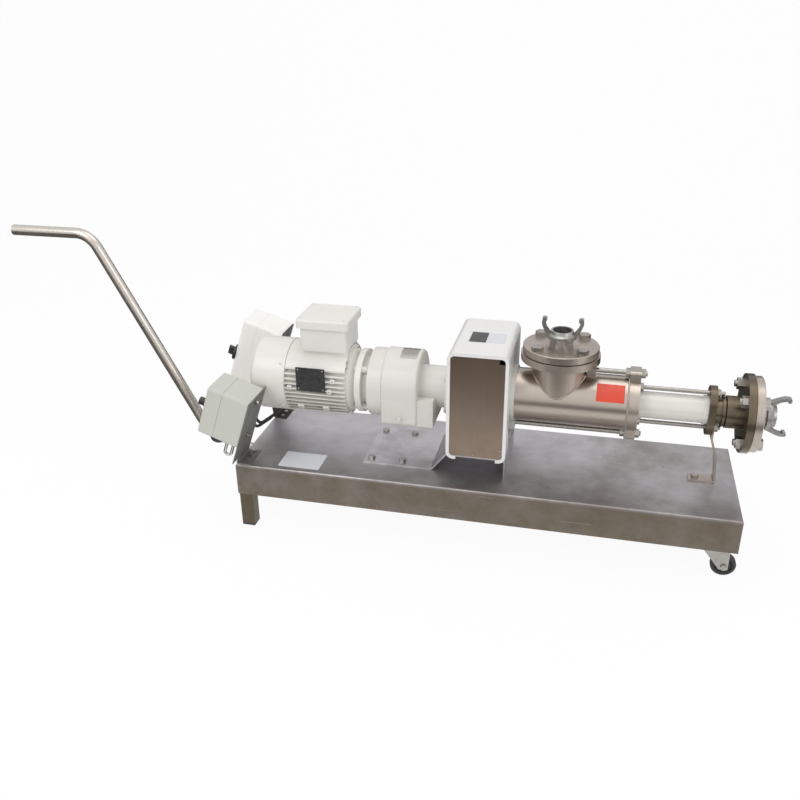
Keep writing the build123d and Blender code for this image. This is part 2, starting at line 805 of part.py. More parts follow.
pinion_x = x_housing + 6
pinion_length = gear_face + pinion_extra
with BuildPart() as motor_shaft:
    tail = x_cowl + fan_back_gap
    tail_end = x_frame + winding_gap - 9
    seat = x_motor_flange + motor_flange_thickness - 4
    turned(
        axis_plane(tail),
        [
            (0, 0), (0, motor_tail_radius), (tail_end - tail, motor_tail_radius), (tail_end - tail, motor_shaft_radius),
            (x_frame + winding_gap - tail, motor_shaft_radius), (x_frame + winding_gap - tail, rotor_core_radius),
            (x_shield - winding_gap - tail, rotor_core_radius), (x_shield - winding_gap - tail, motor_shaft_radius),
            (seat - tail, motor_shaft_radius), (seat - tail, pinion_shaft_radius),
            (pinion_x + pinion_length - tail, pinion_shaft_radius), (pinion_x + pinion_length - tail, 0),
        ],
    )
write(motor_shaft, "motor_shaft")

with BuildPart() as cooling_fan:
    fan_plane = axis_plane(x_cowl + fan_back_gap)
    round_bar(fan_plane, fan_hub_radius, fan_width + 3)
    round_bar(shifted(fan_plane, z=fan_width), fan_radius, 3)
    with BuildSketch(shifted(fan_plane, z=2)):
        with PolarLocations((fan_radius + fan_hub_radius) / 2, 8):
            Rectangle(fan_radius - fan_hub_radius + 2, 2.5)
    extrude(amount=fan_width - 2)
    round_bar(fan_plane, motor_tail_radius, fan_width + 3, mode=Mode.SUBTRACT)
write(cooling_fan, "cooling_fan")

with BuildPart() as front_shield:
    turned(
        axis_plane(x_shield),
        [
            (0, 0), (0, frame_core_radius), (4, frame_core_radius), (16, adapter_neck_radius), (shield_length, adapter_neck_radius),
            (shield_length, motor_flange_radius), (shield_length + motor_flange_thickness, motor_flange_radius),
            (shield_length + motor_flange_thickness, 0),
        ],
    )
    round_bar(axis_plane(x_shield), motor_bearing_radius, front_bearing_x + motor_bearing_width - x_shield, mode=Mode.SUBTRACT)
    round_bar(axis_plane(x_shield), motor_shaft_radius + 1, shield_length + motor_flange_thickness, mode=Mode.SUBTRACT)
    with BuildSketch(axis_plane(x_motor_flange)):
        with PolarLocations(motor_bolt_circle, 4, start_angle=45):
            Circle(housing_bolt_radius + bolt_clearance)
    extrude(amount=motor_flange_thickness, mode=Mode.SUBTRACT)
write(front_shield, "motor_front_shield")

terminal_base = axis_z + frame_fin_radius
with BuildPart() as terminal_box:
    with BuildSketch(Plane.XY.offset(terminal_base)):
        with Locations((seat_x + terminal_length / 2, 0)):
            RectangleRounded(terminal_length, 2 * terminal_half_width, 8)
    extrude(amount=terminal_height)
    offset(amount=-terminal_wall, openings=terminal_box.faces().sort_by(Axis.Z)[-1])
write(terminal_box, "terminal_box")

with BuildPart() as terminal_lid:
    with BuildSketch(Plane.XY.offset(terminal_base + terminal_height)):
        with Locations((seat_x + terminal_length / 2, 0)):
            RectangleRounded(terminal_length + 2 * lid_overhang, 2 * (terminal_half_width + lid_overhang), 10)
    extrude(amount=lid_height)
    fillet(terminal_lid.faces().sort_by(Axis.Z)[-1].edges(), radius=6)
write(terminal_lid, "terminal_box_lid")

# Gear housing, closed on the motor side by the adapter
intermediate_start = x_housing - small_bearing_width - 1
intermediate_end = x_housing + housing_length - housing_end_wall + small_bearing_width
housing_bolt_circle = adapter_ring_radius - 6

with BuildPart() as gear_adapter:
    round_bar(axis_plane(x_adapter), adapter_neck_radius, adapter_neck_length)
    round_bar(axis_plane(x_ring), adapter_ring_radius, adapter_ring_length)
    fillet(gear_adapter.edges().filter_by(GeomType.CIRCLE).group_by(SortBy.RADIUS)[-1], radius=3)
    with BuildSketch(axis_plane(x_adapter)):
        with PolarLocations(motor_bolt_circle, 4, start_angle=45):
            Circle(housing_bolt_radius + 4.5)
    extrude(amount=adapter_neck_length + 3)
    with BuildSketch(axis_plane(x_adapter)):
        with PolarLocations(motor_bolt_circle, 4, start_angle=45):
            Circle(housing_bolt_radius + bolt_clearance)
    extrude(amount=adapter_neck_length, mode=Mode.SUBTRACT)
    round_bar(axis_plane(x_adapter), pinion_shaft_radius + 2, adapter_neck_length + adapter_ring_length, mode=Mode.SUBTRACT)
    round_bar(
        axis_plane(x_housing, centre_distance), small_bearing_radius, -small_bearing_width - 1, mode=Mode.SUBTRACT
    )
write(gear_adapter, "gear_adapter")

with BuildPart() as gear_housing:
    with BuildSketch(axis_plane(x_housing)):
        with Locations((0, housing_rise)):
            Circle(housing_radius)
        with Locations((0, -housing_drop / 2)):
            Rectangle(2 * housing_half_width, housing_drop)
        fillet(vertices().group_by(Axis.Y)[0], radius=12)
    extrude(amount=housing_length)
    fillet(gear_housing.faces().sort_by(Axis.X)[-1].edges(), radius=7)
    round_bar(axis_plane(x_hub - 1), hub_radius, hub_length + 1)
    round_bar(axis_plane(x_output_flange), output_flange_radius, output_flange_thickness)
    with BuildSketch(axis_plane(x_hub - 1)):
        with Locations((0, (foot_block_top - housing_drop + 2) / 2)):
            Rectangle(2 * foot_block_half_width, foot_block_top + housing_drop - 2)
    extrude(amount=foot_block_length + 1)
    with BuildSketch(axis_plane(x_housing)):
        with Locations((0, housing_rise)):
            Circle(housing_radius - housing_wall)
    extrude(amount=housing_length - housing_end_wall, mode=Mode.SUBTRACT)
    small_bore = axis_plane(x_hub - housing_end_wall, centre_distance)
    round_bar(small_bore, small_bearing_radius, small_bearing_width, mode=Mode.SUBTRACT)
    bore_length = housing_end_wall + hub_length + output_flange_thickness
    round_bar(axis_plane(x_hub - housing_end_wall), output_bearing_radius, bore_length, mode=Mode.SUBTRACT)
    with BuildSketch(axis_plane(x_output_flange)):
        with PolarLocations(output_bolt_circle, 4, start_angle=45):
            Circle(housing_bolt_radius + bolt_clearance)
    extrude(amount=output_flange_thickness, mode=Mode.SUBTRACT)
write(gear_housing, "gear_housing")

with BuildPart() as ball_bearings:
    for bearing_x, outer, journal, width, height in (
        (rear_bearing_x, motor_bearing_radius, motor_tail_radius, motor_bearing_width, 0),
        (front_bearing_x, motor_bearing_radius, motor_shaft_radius, motor_bearing_width, 0),
        (x_housing - small_bearing_width, small_bearing_radius, intermediate_shaft_radius, small_bearing_width, centre_distance),
        (x_hub - housing_end_wall, small_bearing_radius, intermediate_shaft_radius, small_bearing_width, centre_distance),
        (x_hub - housing_end_wall, output_bearing_radius, drive_shaft_radius, output_bearing_width, 0),
        (x_lantern - output_bearing_width, output_bearing_radius, drive_shaft_radius, output_bearing_width, 0),
    ):
        ring_bar(axis_plane(bearing_x, height), outer, journal + bearing_clearance, width)
write(ball_bearings, "ball_bearings")


# Gear train: teeth are thinned for backlash and start in mesh
def half_tooth_angle(radius, teeth):
    """Half a tooth's angle at a radius on its involute flank, in radians."""
    pitch_radius = gear_module * teeth / 2
    base_radius = pitch_radius * cos(pressure_angle)
    roll = acos(min(1.0, base_radius / radius))
    at_pitch = tan(pressure_angle) - pressure_angle
    return pi / (2 * teeth) - gear_backlash / (2 * pitch_radius) + at_pitch - (tan(roll) - roll)


def spur_gear(plane, teeth, face_width, first_tooth):
    """Spur gear with a tooth centred at first_tooth degrees, its root flanks radial."""
    pitch_radius = gear_module * teeth / 2
    root_radius = pitch_radius - 1.25 * gear_module
    tip_radius = pitch_radius + gear_module
    flank_radii = (root_radius, pitch_radius, tip_radius)
    outline = []
    for tooth in range(teeth):
        centre = radians(first_tooth + 360 * tooth / teeth)
        for side, radii in ((-1, flank_radii), (1, flank_radii[::-1])):
            for radius in radii:
                angle = centre + side * half_tooth_angle(radius, teeth)
                outline.append((radius * cos(angle), radius * sin(angle)))
    with BuildSketch(plane) as section:
        with BuildLine():
            Polyline(*outline, close=True)
        make_face()
    extrude(section.sketch, amount=face_width)


upward = 90.0
with BuildPart() as motor_pinion:
    spur_gear(axis_plane(pinion_x - 2), motor_pinion_teeth, gear_face + 4, upward)
    round_bar(axis_plane(pinion_x - 2), pinion_shaft_radius, gear_face + 4, mode=Mode.SUBTRACT)
write(motor_pinion, "motor_pinion")

second_stage_x = pinion_x + gear_face + gear_gap
with BuildPart() as intermediate_gears:
    round_bar(axis_plane(intermediate_start, centre_distance), intermediate_shaft_radius, intermediate_end - intermediate_start)
    spur_gear(axis_plane(pinion_x, centre_distance), first_wheel_teeth, gear_face, -upward + 180 / first_wheel_teeth)
    spur_gear(axis_plane(second_stage_x - 2, centre_distance), second_pinion_teeth, gear_face + 4, -upward)
write(intermediate_gears, "intermediate_gears")

with BuildPart() as output_wheel:
    spur_gear(axis_plane(second_stage_x), output_wheel_teeth, gear_face, upward + 180 / output_wheel_teeth)
    round_bar(axis_plane(second_stage_x), drive_shaft_radius, gear_face, mode=Mode.SUBTRACT)
write(output_wheel, "output_wheel")

# Drive line: the shaft's socket turns on the connecting rod's ball
socket_x = x_casing + 10
socket_depth = 26.0
ball_x = socket_x + socket_depth / 2 + 4
rotor_head_x = x_mid - 7
rotor_head_length = 24.0
rotor_ball_x = rotor_head_x + 9
seal_radius = 28.0

with BuildPart() as drive_shaft:
    round_bar(axis_plane(second_stage_x - 3), drive_shaft_radius, socket_x - second_stage_x + 3)
    round_bar(axis_plane(socket_x - 6), socket_radius, socket_depth + 6)
    round_bar(axis_plane(socket_x + 2), ball_radius + ball_clearance, socket_depth - 2, mode=Mode.SUBTRACT)
write(drive_shaft, "drive_shaft")

with BuildPart() as shaft_seal:
    ring_bar(axis_plane(x_casing - 12), seal_radius, drive_shaft_radius + bearing_clearance, 16)
write(shaft_seal, "shaft_seal")

with BuildPart() as connecting_rod:
    drive_ball = Vector(ball_x, 0, axis_z)
    rotor_ball = Vector(rotor_ball_x, eccentricity, axis_z)
    rod_direction = rotor_ball - drive_ball
    round_bar(Plane(origin=drive_ball, z_dir=rod_direction), connecting_rod_radius, rod_direction.length)
    with Locations(drive_ball, rotor_ball):
        Sphere(ball_radius)
write(connecting_rod, "connecting_rod")

# Screw pair: the rotor's round section runs round its own axis, the stator's slot turns half as fast
rotor_start = rotor_head_x + rotor_head_length
rotor_twist_start = 2 * pi * (rotor_start - x_stator) / rotor_pitch
rotor_length = x_end + rotor_overrun - rotor_start
rotor_axis = Vector(rotor_start, eccentricity, axis_z)
rotor_centre = rotor_axis + Vector(0, cos(rotor_twist_start), sin(rotor_twist_start)) * eccentricity
rotor_section = Plane(origin=rotor_centre, x_dir=(0, 1, 0), z_dir=(1, 0, 0)) * Circle(rotor_radius)
rotor_screw = Solid.extrude_linear_with_rotation(
    rotor_section.face(), rotor_axis, (rotor_length, 0, 0), 360 * rotor_length / rotor_pitch
)

with BuildPart() as rotor:
    add(rotor_screw)
    rotor_plane = Plane(origin=(rotor_head_x, eccentricity, axis_z), x_dir=(0, 1, 0), z_dir=(1, 0, 0))
    round_bar(rotor_plane, rotor_head_radius, rotor_head_length)
    round_bar(rotor_plane, ball_radius + ball_clearance, rotor_head_length - 2, mode=Mode.SUBTRACT)
write(rotor, "pump_rotor")

cavity_radius = rotor_radius + screw_clearance
cavity_section = axis_plane(x_stator) * SlotOverall(4 * eccentricity + 2 * cavity_radius, 2 * cavity_radius)
cavity = Solid.extrude_linear_with_rotation(
    cavity_section.face(), (x_stator, 0, axis_z), (stator_length, 0, 0), 180 * stator_length / rotor_pitch
)

with BuildPart() as stator_lining:
    round_bar(axis_plane(x_stator), stator_tube_radius - stator_tube_wall, stator_length)
    add(cavity, mode=Mode.SUBTRACT)
write(stator_lining, "stator_lining")

with BuildPart() as stator_tube:
    round_bar(axis_plane(x_stator), stator_tube_radius, stator_length)
    round_bar(axis_plane(x_stator), stator_collar_radius, stator_collar_length)
    round_bar(axis_plane(x_end), stator_collar_radius, -stator_collar_length)
    round_bar(axis_plane(x_stator), stator_tube_radius - stator_tube_wall, stator_length, mode=Mode.SUBTRACT)
write(stator_tube, "stator_tube")

# Lantern between gear hub and casing, standing on a bridge of bent sheet
shelf_top = deck_top + foot_rise + foot_sheet
pedestal_x = x_lantern + 48
with BuildPart() as lantern:
    round_bar(axis_plane(x_lantern), lantern_flange_radius, lantern_flange_thickness)
    round_bar(axis_plane(x_lantern), lantern_barrel_radius, lantern_length)
    round_bar(axis_plane(x_casing), lantern_flange_radius, -lantern_flange_thickness)
    with BuildSketch(axis_plane(x_casing)):
        with Locations((0, -ear_reach / 2)):
            Rectangle(2 * ear_half_width, ear_reach)
    extrude(amount=-lantern_flange_thickness)
    with BuildSketch(Plane.XY.offset(shelf_top)):
        with Locations((pedestal_x + pedestal_length / 2, 0)):
            RectangleRounded(pedestal_length, 2 * pedestal_half_width, 8)
    extrude(amount=axis_z - lantern_barrel_radius / 2 - shelf_top)
    round_bar(axis_plane(x_lantern), lantern_barrel_radius - lantern_wall, lantern_length - lantern_flange_thickness, mode=Mode.SUBTRACT)
    round_bar(axis_plane(x_casing), seal_radius, -lantern_flange_thickness, mode=Mode.SUBTRACT)
    with BuildSketch(side_plane(-lantern_flange_radius)):
        with Locations((pedestal_x + pedestal_length / 2, axis_z + 6)):
            RectangleRounded(lantern_window_length, lantern_window_height, 12)
    extrude(amount=-2 * lantern_flange_radius, mode=Mode.SUBTRACT)
    with BuildSketch(axis_plane(x_lantern)):
        with PolarLocations(output_bolt_circle, 4, start_angle=45):
            Circle(housing_bolt_radius + bolt_clearance)
    extrude(amount=lantern_flange_thickness, mode=Mode.SUBTRACT)
    round_bar(
        axis_plane(x_casing, -casing_rod_offset), casing_rod_radius + rod_hole_clearance, -lantern_flange_thickness,
        mode=Mode.SUBTRACT,
    )
write(lantern, "lantern")

foot_left = deck_left + foot_setback
foot_bend_x = foot_left + foot_flat_length
shelf_start = foot_bend_x + foot_rise / tan(radians(foot_slope))
shelf_end = shelf_start + foot_shelf_length
with BuildPart() as lantern_foot:
    half = foot_sheet / 2
    bent_sheet(
        [
            (foot_left, deck_top + half), (foot_bend_x, deck_top + half), (shelf_start, shelf_top - half),
            (shelf_end, shelf_top - half), (shelf_end, deck_top),
        ],
        2 * foot_sheet, foot_sheet, foot_half_width,
    )
    with BuildSketch(Plane.XY.offset(deck_top)):
        with Locations(*anchor_points[:-1]):
            Circle(foot_bolt_radius + bolt_clearance)
    extrude(amount=foot_sheet, mode=Mode.SUBTRACT)
write(lantern_foot, "lantern_foot")

# Guard: a moulded saddle hood over the lantern, with sheet side plates
guard_x = x_lantern + guard_length / 2
guard_z = deck_top + guard_low + guard_height / 2
slot_radius = lantern_flange_radius + guard_fit
with BuildPart() as guard_hood:
    with BuildSketch(side_plane(-guard_half_width)):
        with Locations((guard_x, guard_z)):
            RectangleRounded(guard_length, guard_height, guard_corner)
            RectangleRounded(
                guard_length - 2 * guard_wall, guard_height - 2 * guard_wall, guard_corner - guard_wall, mode=Mode.SUBTRACT
            )
        with Locations((guard_x, guard_z - guard_height / 2)):
            Rectangle(guard_length - 2 * guard_lip, 4 * guard_wall, mode=Mode.SUBTRACT)
    extrude(amount=-2 * guard_half_width)
    with BuildSketch(axis_plane(x_lantern)):
        Circle(slot_radius)
        with Locations((0, -guard_height / 2)):
            Rectangle(2 * slot_radius, guard_height)
    extrude(amount=guard_length, mode=Mode.SUBTRACT)
write(guard_hood, "guard_hood")

with BuildPart() as guard_side_plates:
    plate_length = guard_length - 2 * guard_wall - 2 * guard_fit
    plate_height = guard_height - 2 * guard_wall - 2 * guard_fit
    for plate_y in (-guard_half_width + guard_plate_inset, guard_half_width - guard_plate_inset - guard_plate_sheet):
        with BuildSketch(side_plane(plate_y)):
            with Locations((guard_x, guard_z)):
                RectangleRounded(plate_length, plate_height, guard_corner - guard_wall)
            with Locations((guard_x + plate_length / 2, guard_z + plate_height / 2)):
                Rectangle(2 * guard_plate_notch, 2 * guard_plate_notch, mode=Mode.SUBTRACT)
        extrude(amount=-guard_plate_sheet)
write(guard_side_plates, "guard_side_plates")

# Casing with its suction neck and tapped flange
suction_plane = Plane(origin=(suction_x, 0, suction_face))
boss_x = suction_x + suction_neck_radius + 3
boss_length = 20.0
boss_top = casing_rod_offset + 11
with BuildPart() as pump_casing:
    round_bar(axis_plane(x_casing), casing_radius, casing_length)
    round_bar(suction_plane, suction_neck_radius, -suction_face_height)
    round_bar(suction_plane, pipe_flange_radius, -pipe_flange_thickness)
    with BuildSketch(axis_plane(boss_x)):
        with Locations((0, (boss_top + casing_radius - 8) / 2)):
            Rectangle(22, boss_top - casing_radius + 8)
    extrude(amount=boss_length)
    round_bar(axis_plane(x_casing), casing_radius - casing_wall, casing_length, mode=Mode.SUBTRACT)
    neck_depth = suction_face_height - pipe_flange_thickness
    round_bar(
        shifted(suction_plane, z=-pipe_flange_thickness), suction_neck_radius - casing_wall, -neck_depth,
        mode=Mode.SUBTRACT,
    )
    round_bar(suction_plane, pipe_bore, -pipe_flange_thickness, mode=Mode.SUBTRACT)
    with BuildSketch(suction_plane):
        with PolarLocations(flange_bolt_circle, 4, start_angle=45):
            Circle(flange_bolt_radius + bolt_clearance)
    extrude(amount=-pipe_flange_thickness + 3, mode=Mode.SUBTRACT)
    rod_hole = casing_rod_radius + rod_hole_clearance
    round_bar(axis_plane(boss_x, casing_rod_offset), rod_hole, boss_length, mode=Mode.SUBTRACT)
write(pump_casing, "pump_casing")

with BuildPart() as mid_flange:
    with BuildSketch(axis_plane(x_mid)):
        Circle(mid_flange_half_width)
        RectangleRounded(2 * ear_half_width, 2 * ear_reach, 7)
        Circle(passage_radius, mode=Mode.SUBTRACT)
        with Locations((0, casing_rod_offset), (0, -casing_rod_offset)):
            Circle(casing_rod_radius + rod_hole_clearance, mode=Mode.SUBTRACT)
        with Locations((0, stator_rod_offset), (0, -stator_rod_offset)):
            Circle(stator_rod_radius + rod_hole_clearance, mode=Mode.SUBTRACT)
    extrude(amount=mid_flange_thickness)
write(mid_flange, "mid_flange")

# Tie rods with their nuts: one full-length under the casing, a short one above, two along the stator
lower_rod_start = x_casing - lantern_flange_thickness - rod_nut_height - 2
rod_end = x_stator + rod_nut_height + 4
stator_rod_start = x_mid + 5
stator_rod_end = x_port + strap_sheet + rod_nut_height + 3
with BuildPart() as tie_rods:
    round_bar(axis_plane(lower_rod_start, -casing_rod_offset), casing_rod_radius, rod_end - lower_rod_start)
    round_bar(axis_plane(boss_x + 3, casing_rod_offset), casing_rod_radius, rod_end - boss_x - 3)
    hexagon_bar(axis_plane(x_casing - lantern_flange_thickness, -casing_rod_offset), 19, -rod_nut_height)
    for height in (-casing_rod_offset, casing_rod_offset):
        hexagon_bar(axis_plane(x_mid, height), 19, -rod_nut_height)
        hexagon_bar(axis_plane(x_stator, height), 19, rod_nut_height)
    for height, seat_x_end in ((-stator_rod_offset, x_port + strap_sheet), (stator_rod_offset, x_port)):
        round_bar(axis_plane(stator_rod_start, height), stator_rod_radius, stator_rod_end - stator_rod_start)
        hexagon_bar(axis_plane(x_stator, height), 17, rod_nut_height - 2)
        hexagon_bar(axis_plane(seat_x_end, height), 17, rod_nut_height - 2)
write(tie_rods, "tie_rods")

# Discharge port: end flange, ringed throat, pipe and flange in one weldment
with BuildPart() as discharge_port:
    with BuildSketch(axis_plane(x_end)):
        SlotOverall(2 * end_flange_half_height, 2 * end_flange_half_width, rotation=90)
    extrude(amount=end_flange_thickness)
    throat_end = port_throat_length
    turned(
        axis_plane(x_port),
        [
            (0, 0), (0, port_throat_radius), (throat_end, port_throat_radius), (throat_end, port_radius - 1),
            (throat_end + 4, port_radius - 1), (throat_end + 4, port_radius - 4), (throat_end + 7, port_radius - 4),
            (throat_end + 9, port_radius), (port_length, port_radius), (port_length, 0),
        ],
    )
    round_bar(axis_plane(x_discharge_flange), pipe_flange_radius, pipe_flange_thickness)
    turned(
        axis_plane(x_end),
        [
            (0, 0), (0, passage_radius), (end_flange_thickness + throat_end, passage_radius),
            (end_flange_thickness + throat_end + 12, pipe_bore), (x_discharge_face - x_end, pipe_bore),
            (x_discharge_face - x_end, 0),
        ],
        mode=Mode.SUBTRACT,
    )
    with BuildSketch(axis_plane(x_discharge_flange)):
        with PolarLocations(flange_bolt_circle, 4, start_angle=45):
            Circle(flange_bolt_hole)
    extrude(amount=pipe_flange_thickness, mode=Mode.SUBTRACT)
    with BuildSketch(axis_plane(x_end)):
        with Locations((0, stator_rod_offset), (0, -stator_rod_offset)):
            Circle(stator_rod_radius + rod_hole_clearance)
    extrude(amount=end_flange_thickness, mode=Mode.SUBTRACT)
write(discharge_port, "discharge_port")


def counter_flange(plane):
    """Loose flange that carries a hose coupling."""
    with BuildPart() as flange:
        with BuildSketch(plane):
            Circle(counter_flange_radius)
            Circle(coupling_bore, mode=Mode.SUBTRACT)
            with PolarLocations(flange_bolt_circle, 4, start_angle=45):
                Circle(flange_bolt_hole, mode=Mode.SUBTRACT)
        extrude(amount=counter_flange_thickness)
        chamfer(flange.faces().sort_by(Axis(plane.origin, plane.z_dir))[-1].edges().sort_by(SortBy.LENGTH)[-1], length=1.5)
    return flange


def claw_coupling(plane, claw_direction):
    """Hose coupling: neck, banded cup and two hooked claws."""
    band = coupling_band_radius
    with BuildPart() as coupling:
        turned(
            plane,
            [
                (0, coupling_bore), (0, coupling_neck_radius), (14, coupling_neck_radius), (16, band), (25, band),
                (29, coupling_rim_radius + 2), (coupling_height, coupling_rim_radius), (coupling_height, coupling_bore),
            ],
        )
        for reach in (claw_direction, -claw_direction):
            claw_plane = Plane(origin=plane.origin, x_dir=reach, z_dir=reach.cross(plane.z_dir))
            with BuildSketch(claw_plane):
                with BuildLine():
                    Polyline(
                        (band - 5, 17), (band + 1, 17), (claw_reach - 5, 38), (claw_reach, claw_height - 14),
                        (claw_reach - 1, claw_height - 2), (claw_reach - 6, claw_height), (claw_reach - 12, claw_height - 3),
                        (claw_reach - 11, claw_height - 8), (claw_reach - 7, claw_height - 11),
                        (claw_reach - 11, 42), (coupling_rim_radius + 1, 28), close=True,
                    )
                make_face()
            extrude(amount=claw_half_width, both=True)
    return coupling


suction_counter_plane = Plane(origin=(suction_x, 0, suction_counter))
suction_coupling_plane = Plane(origin=(suction_x, 0, suction_coupling_face))
write(counter_flange(suction_counter_plane), "suction_flange")
write(counter_flange(axis_plane(x_counter)), "discharge_flange")
write(claw_coupling(suction_coupling_plane, Vector(1, 0, 0)), "suction_coupling")
write(claw_coupling(axis_plane(x_coupling), Vector(0, 0, 1)), "discharge_coupling")

with BuildPart() as flange_gaskets:
    ring_bar(suction_plane, counter_flange_radius - 4, pipe_bore, gasket_thickness)
    ring_bar(axis_plane(x_discharge_face), counter_flange_radius - 4, pipe_bore, gasket_thickness)
    for gasket_plane in (suction_plane, axis_plane(x_discharge_face)):
        with BuildSketch(gasket_plane):
            with PolarLocations(flange_bolt_circle, 4, start_angle=45):
                Circle(flange_bolt_hole)
        extrude(amount=gasket_thickness, mode=Mode.SUBTRACT)
write(flange_gaskets, "flange_gaskets")

with BuildPart() as flange_bolts:
    suction_grip = counter_flange_thickness + gasket_thickness + pipe_flange_thickness - 4
    discharge_grip = counter_flange_thickness + gasket_thickness + pipe_flange_thickness
    for turn in (45, 135, 225, 315):
        across = flange_bolt_circle * cos(radians(turn))
        up = flange_bolt_circle * sin(radians(turn))
        hexagon_bolt(shifted(suction_coupling_plane, x=across, y=up), flange_bolt_radius, suction_grip)
        bolt_plane = shifted(axis_plane(x_coupling), x=across, y=up)
        hexagon_bolt(bolt_plane, flange_bolt_radius, discharge_grip + 18)
        hexagon_nut(shifted(axis_plane(x_discharge_flange), x=across, y=up, z=-1.6 * flange_bolt_radius), flange_bolt_radius)
write(flange_bolts, "flange_bolts")

# Strap from the lower stator rod down to the deck
strap_top = axis_z - stator_rod_offset + 13
with BuildPart() as discharge_support:
    half = strap_sheet / 2
    bent_sheet(
        [
            (strap_base_x - strap_foot_length, deck_top + half), (strap_base_x, deck_top + half),
            (strap_base_x - 6, deck_top + 70), (strap_face_x - half, axis_z - stator_rod_offset - 26),
            (strap_face_x - half, strap_top),
        ],
        1.5 * strap_sheet, strap_sheet, strap_half_width,
    )
    rod_hole_radius = stator_rod_radius + rod_hole_clearance
    round_bar(axis_plane(x_port, -stator_rod_offset), rod_hole_radius, strap_sheet, mode=Mode.SUBTRACT)
    foot_hole = Plane(origin=(strap_bolt_x, 0, deck_top))
    round_bar(foot_hole, foot_bolt_radius + bolt_clearance, strap_sheet, mode=Mode.SUBTRACT)
write(discharge_support, "discharge_support")

# Bolts
with BuildPart() as anchor_bolts:
    for point in anchor_points:
        seat_height = strap_sheet if point == anchor_points[-1] else foot_sheet
        head = Plane(origin=(point[0], point[1], deck_top + seat_height))
        hexagon_bolt(head, foot_bolt_radius, seat_height + deck_sheet)
        hexagon_nut(Plane(origin=(point[0], point[1], deck_underside - 1.6 * foot_bolt_radius)), foot_bolt_radius)
    for shift_y in (-handle_bolt_span_y / 2, handle_bolt_span_y / 2):
        for shift_z in (-handle_bolt_span_z / 2, handle_bolt_span_z / 2):
            head = Plane(origin=(flange_face_x, shift_y, handle_foot_z + shift_z), x_dir=(0, 1, 0), z_dir=(-1, 0, 0))
            hexagon_bolt(head, handle_bolt_radius, handle_flange_thickness + deck_sheet)
            hexagon_nut(shifted(head, z=-handle_flange_thickness - deck_sheet - 1.6 * handle_bolt_radius), handle_bolt_radius)
write(anchor_bolts, "anchor_bolts")

with BuildPart() as bracket_screws:
    for point in bracket_bolts:
        head = Plane(origin=(point[0], point[1], deck_top + bracket_sheet))
        hexagon_bolt(head, bracket_bolt_radius, bracket_sheet + deck_sheet)
        hexagon_nut(Plane(origin=(point[0], point[1], deck_underside - 1.6 * bracket_bolt_radius)), bracket_bolt_radius)
write(bracket_screws, "bracket_screws")

with BuildPart() as housing_bolts:
    for turn in (45, 135, 225, 315):
        motor_side = shifted(
            axis_plane(x_motor_flange), x=motor_bolt_circle * cos(radians(turn)), y=motor_bolt_circle * sin(radians(turn))
        )
        hexagon_bar(motor_side, 3.1 * housing_bolt_radius, -1.3 * housing_bolt_radius)
        round_bar(motor_side, housing_bolt_radius, motor_flange_thickness + adapter_neck_length - 3)
        output_side = shifted(
            axis_plane(x_output_flange), x=output_bolt_circle * cos(radians(turn)), y=output_bolt_circle * sin(radians(turn))
        )
        hexagon_bar(output_side, 3.1 * housing_bolt_radius, -1.3 * housing_bolt_radius)
        round_bar(output_side, housing_bolt_radius, output_flange_thickness + lantern_flange_thickness)
        hexagon_nut(shifted(output_side, z=output_flange_thickness + lantern_flange_thickness), housing_bolt_radius)
write(housing_bolts, "housing_bolts")
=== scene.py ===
"""Looks of the progressive cavity pump trolley: finishes, small parts, stage and camera.

Lengths are in metres. +X runs along the pump to the discharge, -Y is the near side, +Z is up.
"""

from math import cos, pi, radians, sin, sqrt

import bmesh
import bpy
from bpy.props import FloatProperty, FloatVectorProperty, PointerProperty
from mathutils import Matrix, Vector


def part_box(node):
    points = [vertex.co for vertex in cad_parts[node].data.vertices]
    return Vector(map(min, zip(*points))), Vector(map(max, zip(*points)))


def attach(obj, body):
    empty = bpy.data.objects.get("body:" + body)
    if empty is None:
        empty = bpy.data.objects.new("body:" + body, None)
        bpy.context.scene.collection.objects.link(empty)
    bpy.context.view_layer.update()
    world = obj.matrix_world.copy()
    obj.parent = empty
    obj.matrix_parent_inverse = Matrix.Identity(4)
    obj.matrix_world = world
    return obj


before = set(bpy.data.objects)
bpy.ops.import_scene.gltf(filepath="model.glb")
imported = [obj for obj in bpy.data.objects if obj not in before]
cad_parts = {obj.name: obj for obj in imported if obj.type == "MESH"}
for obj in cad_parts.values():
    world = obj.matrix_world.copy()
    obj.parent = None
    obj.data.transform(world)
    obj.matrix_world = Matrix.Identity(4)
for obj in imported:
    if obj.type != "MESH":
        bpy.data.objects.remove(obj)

bl_info = {
    "name": "Pump trolley looks",
    "version": (1, 0, 0),
    "blender": (4, 5, 0),
    "location": "View3D > Sidebar > Pump trolley",
    "description": "Builds the finishes, small parts and stage of a progressive cavity pump trolley",
    "category": "Object",
}

ROOT_BODY = "trolley_and_pump"

# Directions that plates face and run along
ALONG, NEAR, UP = (1, 0, 0), (0, -1, 0), (0, 0, 1)

# Kinds of node sockets
VECTOR, NUMBER, WHOLE = "NodeSocketVector", "NodeSocketFloat", "NodeSocketInt"
OBJECT, MATERIAL, GEOMETRY = "NodeSocketObject", "NodeSocketMaterial", "NodeSocketGeometry"

# Dust, as RGBA
PAINT_DUST = (0.62, 0.6, 0.55, 1.0)
RUBBER_DUST = (0.3, 0.29, 0.27, 1.0)

# Angles over which an edge is shaded sharp, in degrees
PIECE_EDGE, PLATE_EDGE, BEAD_EDGE = 35, 30, 60

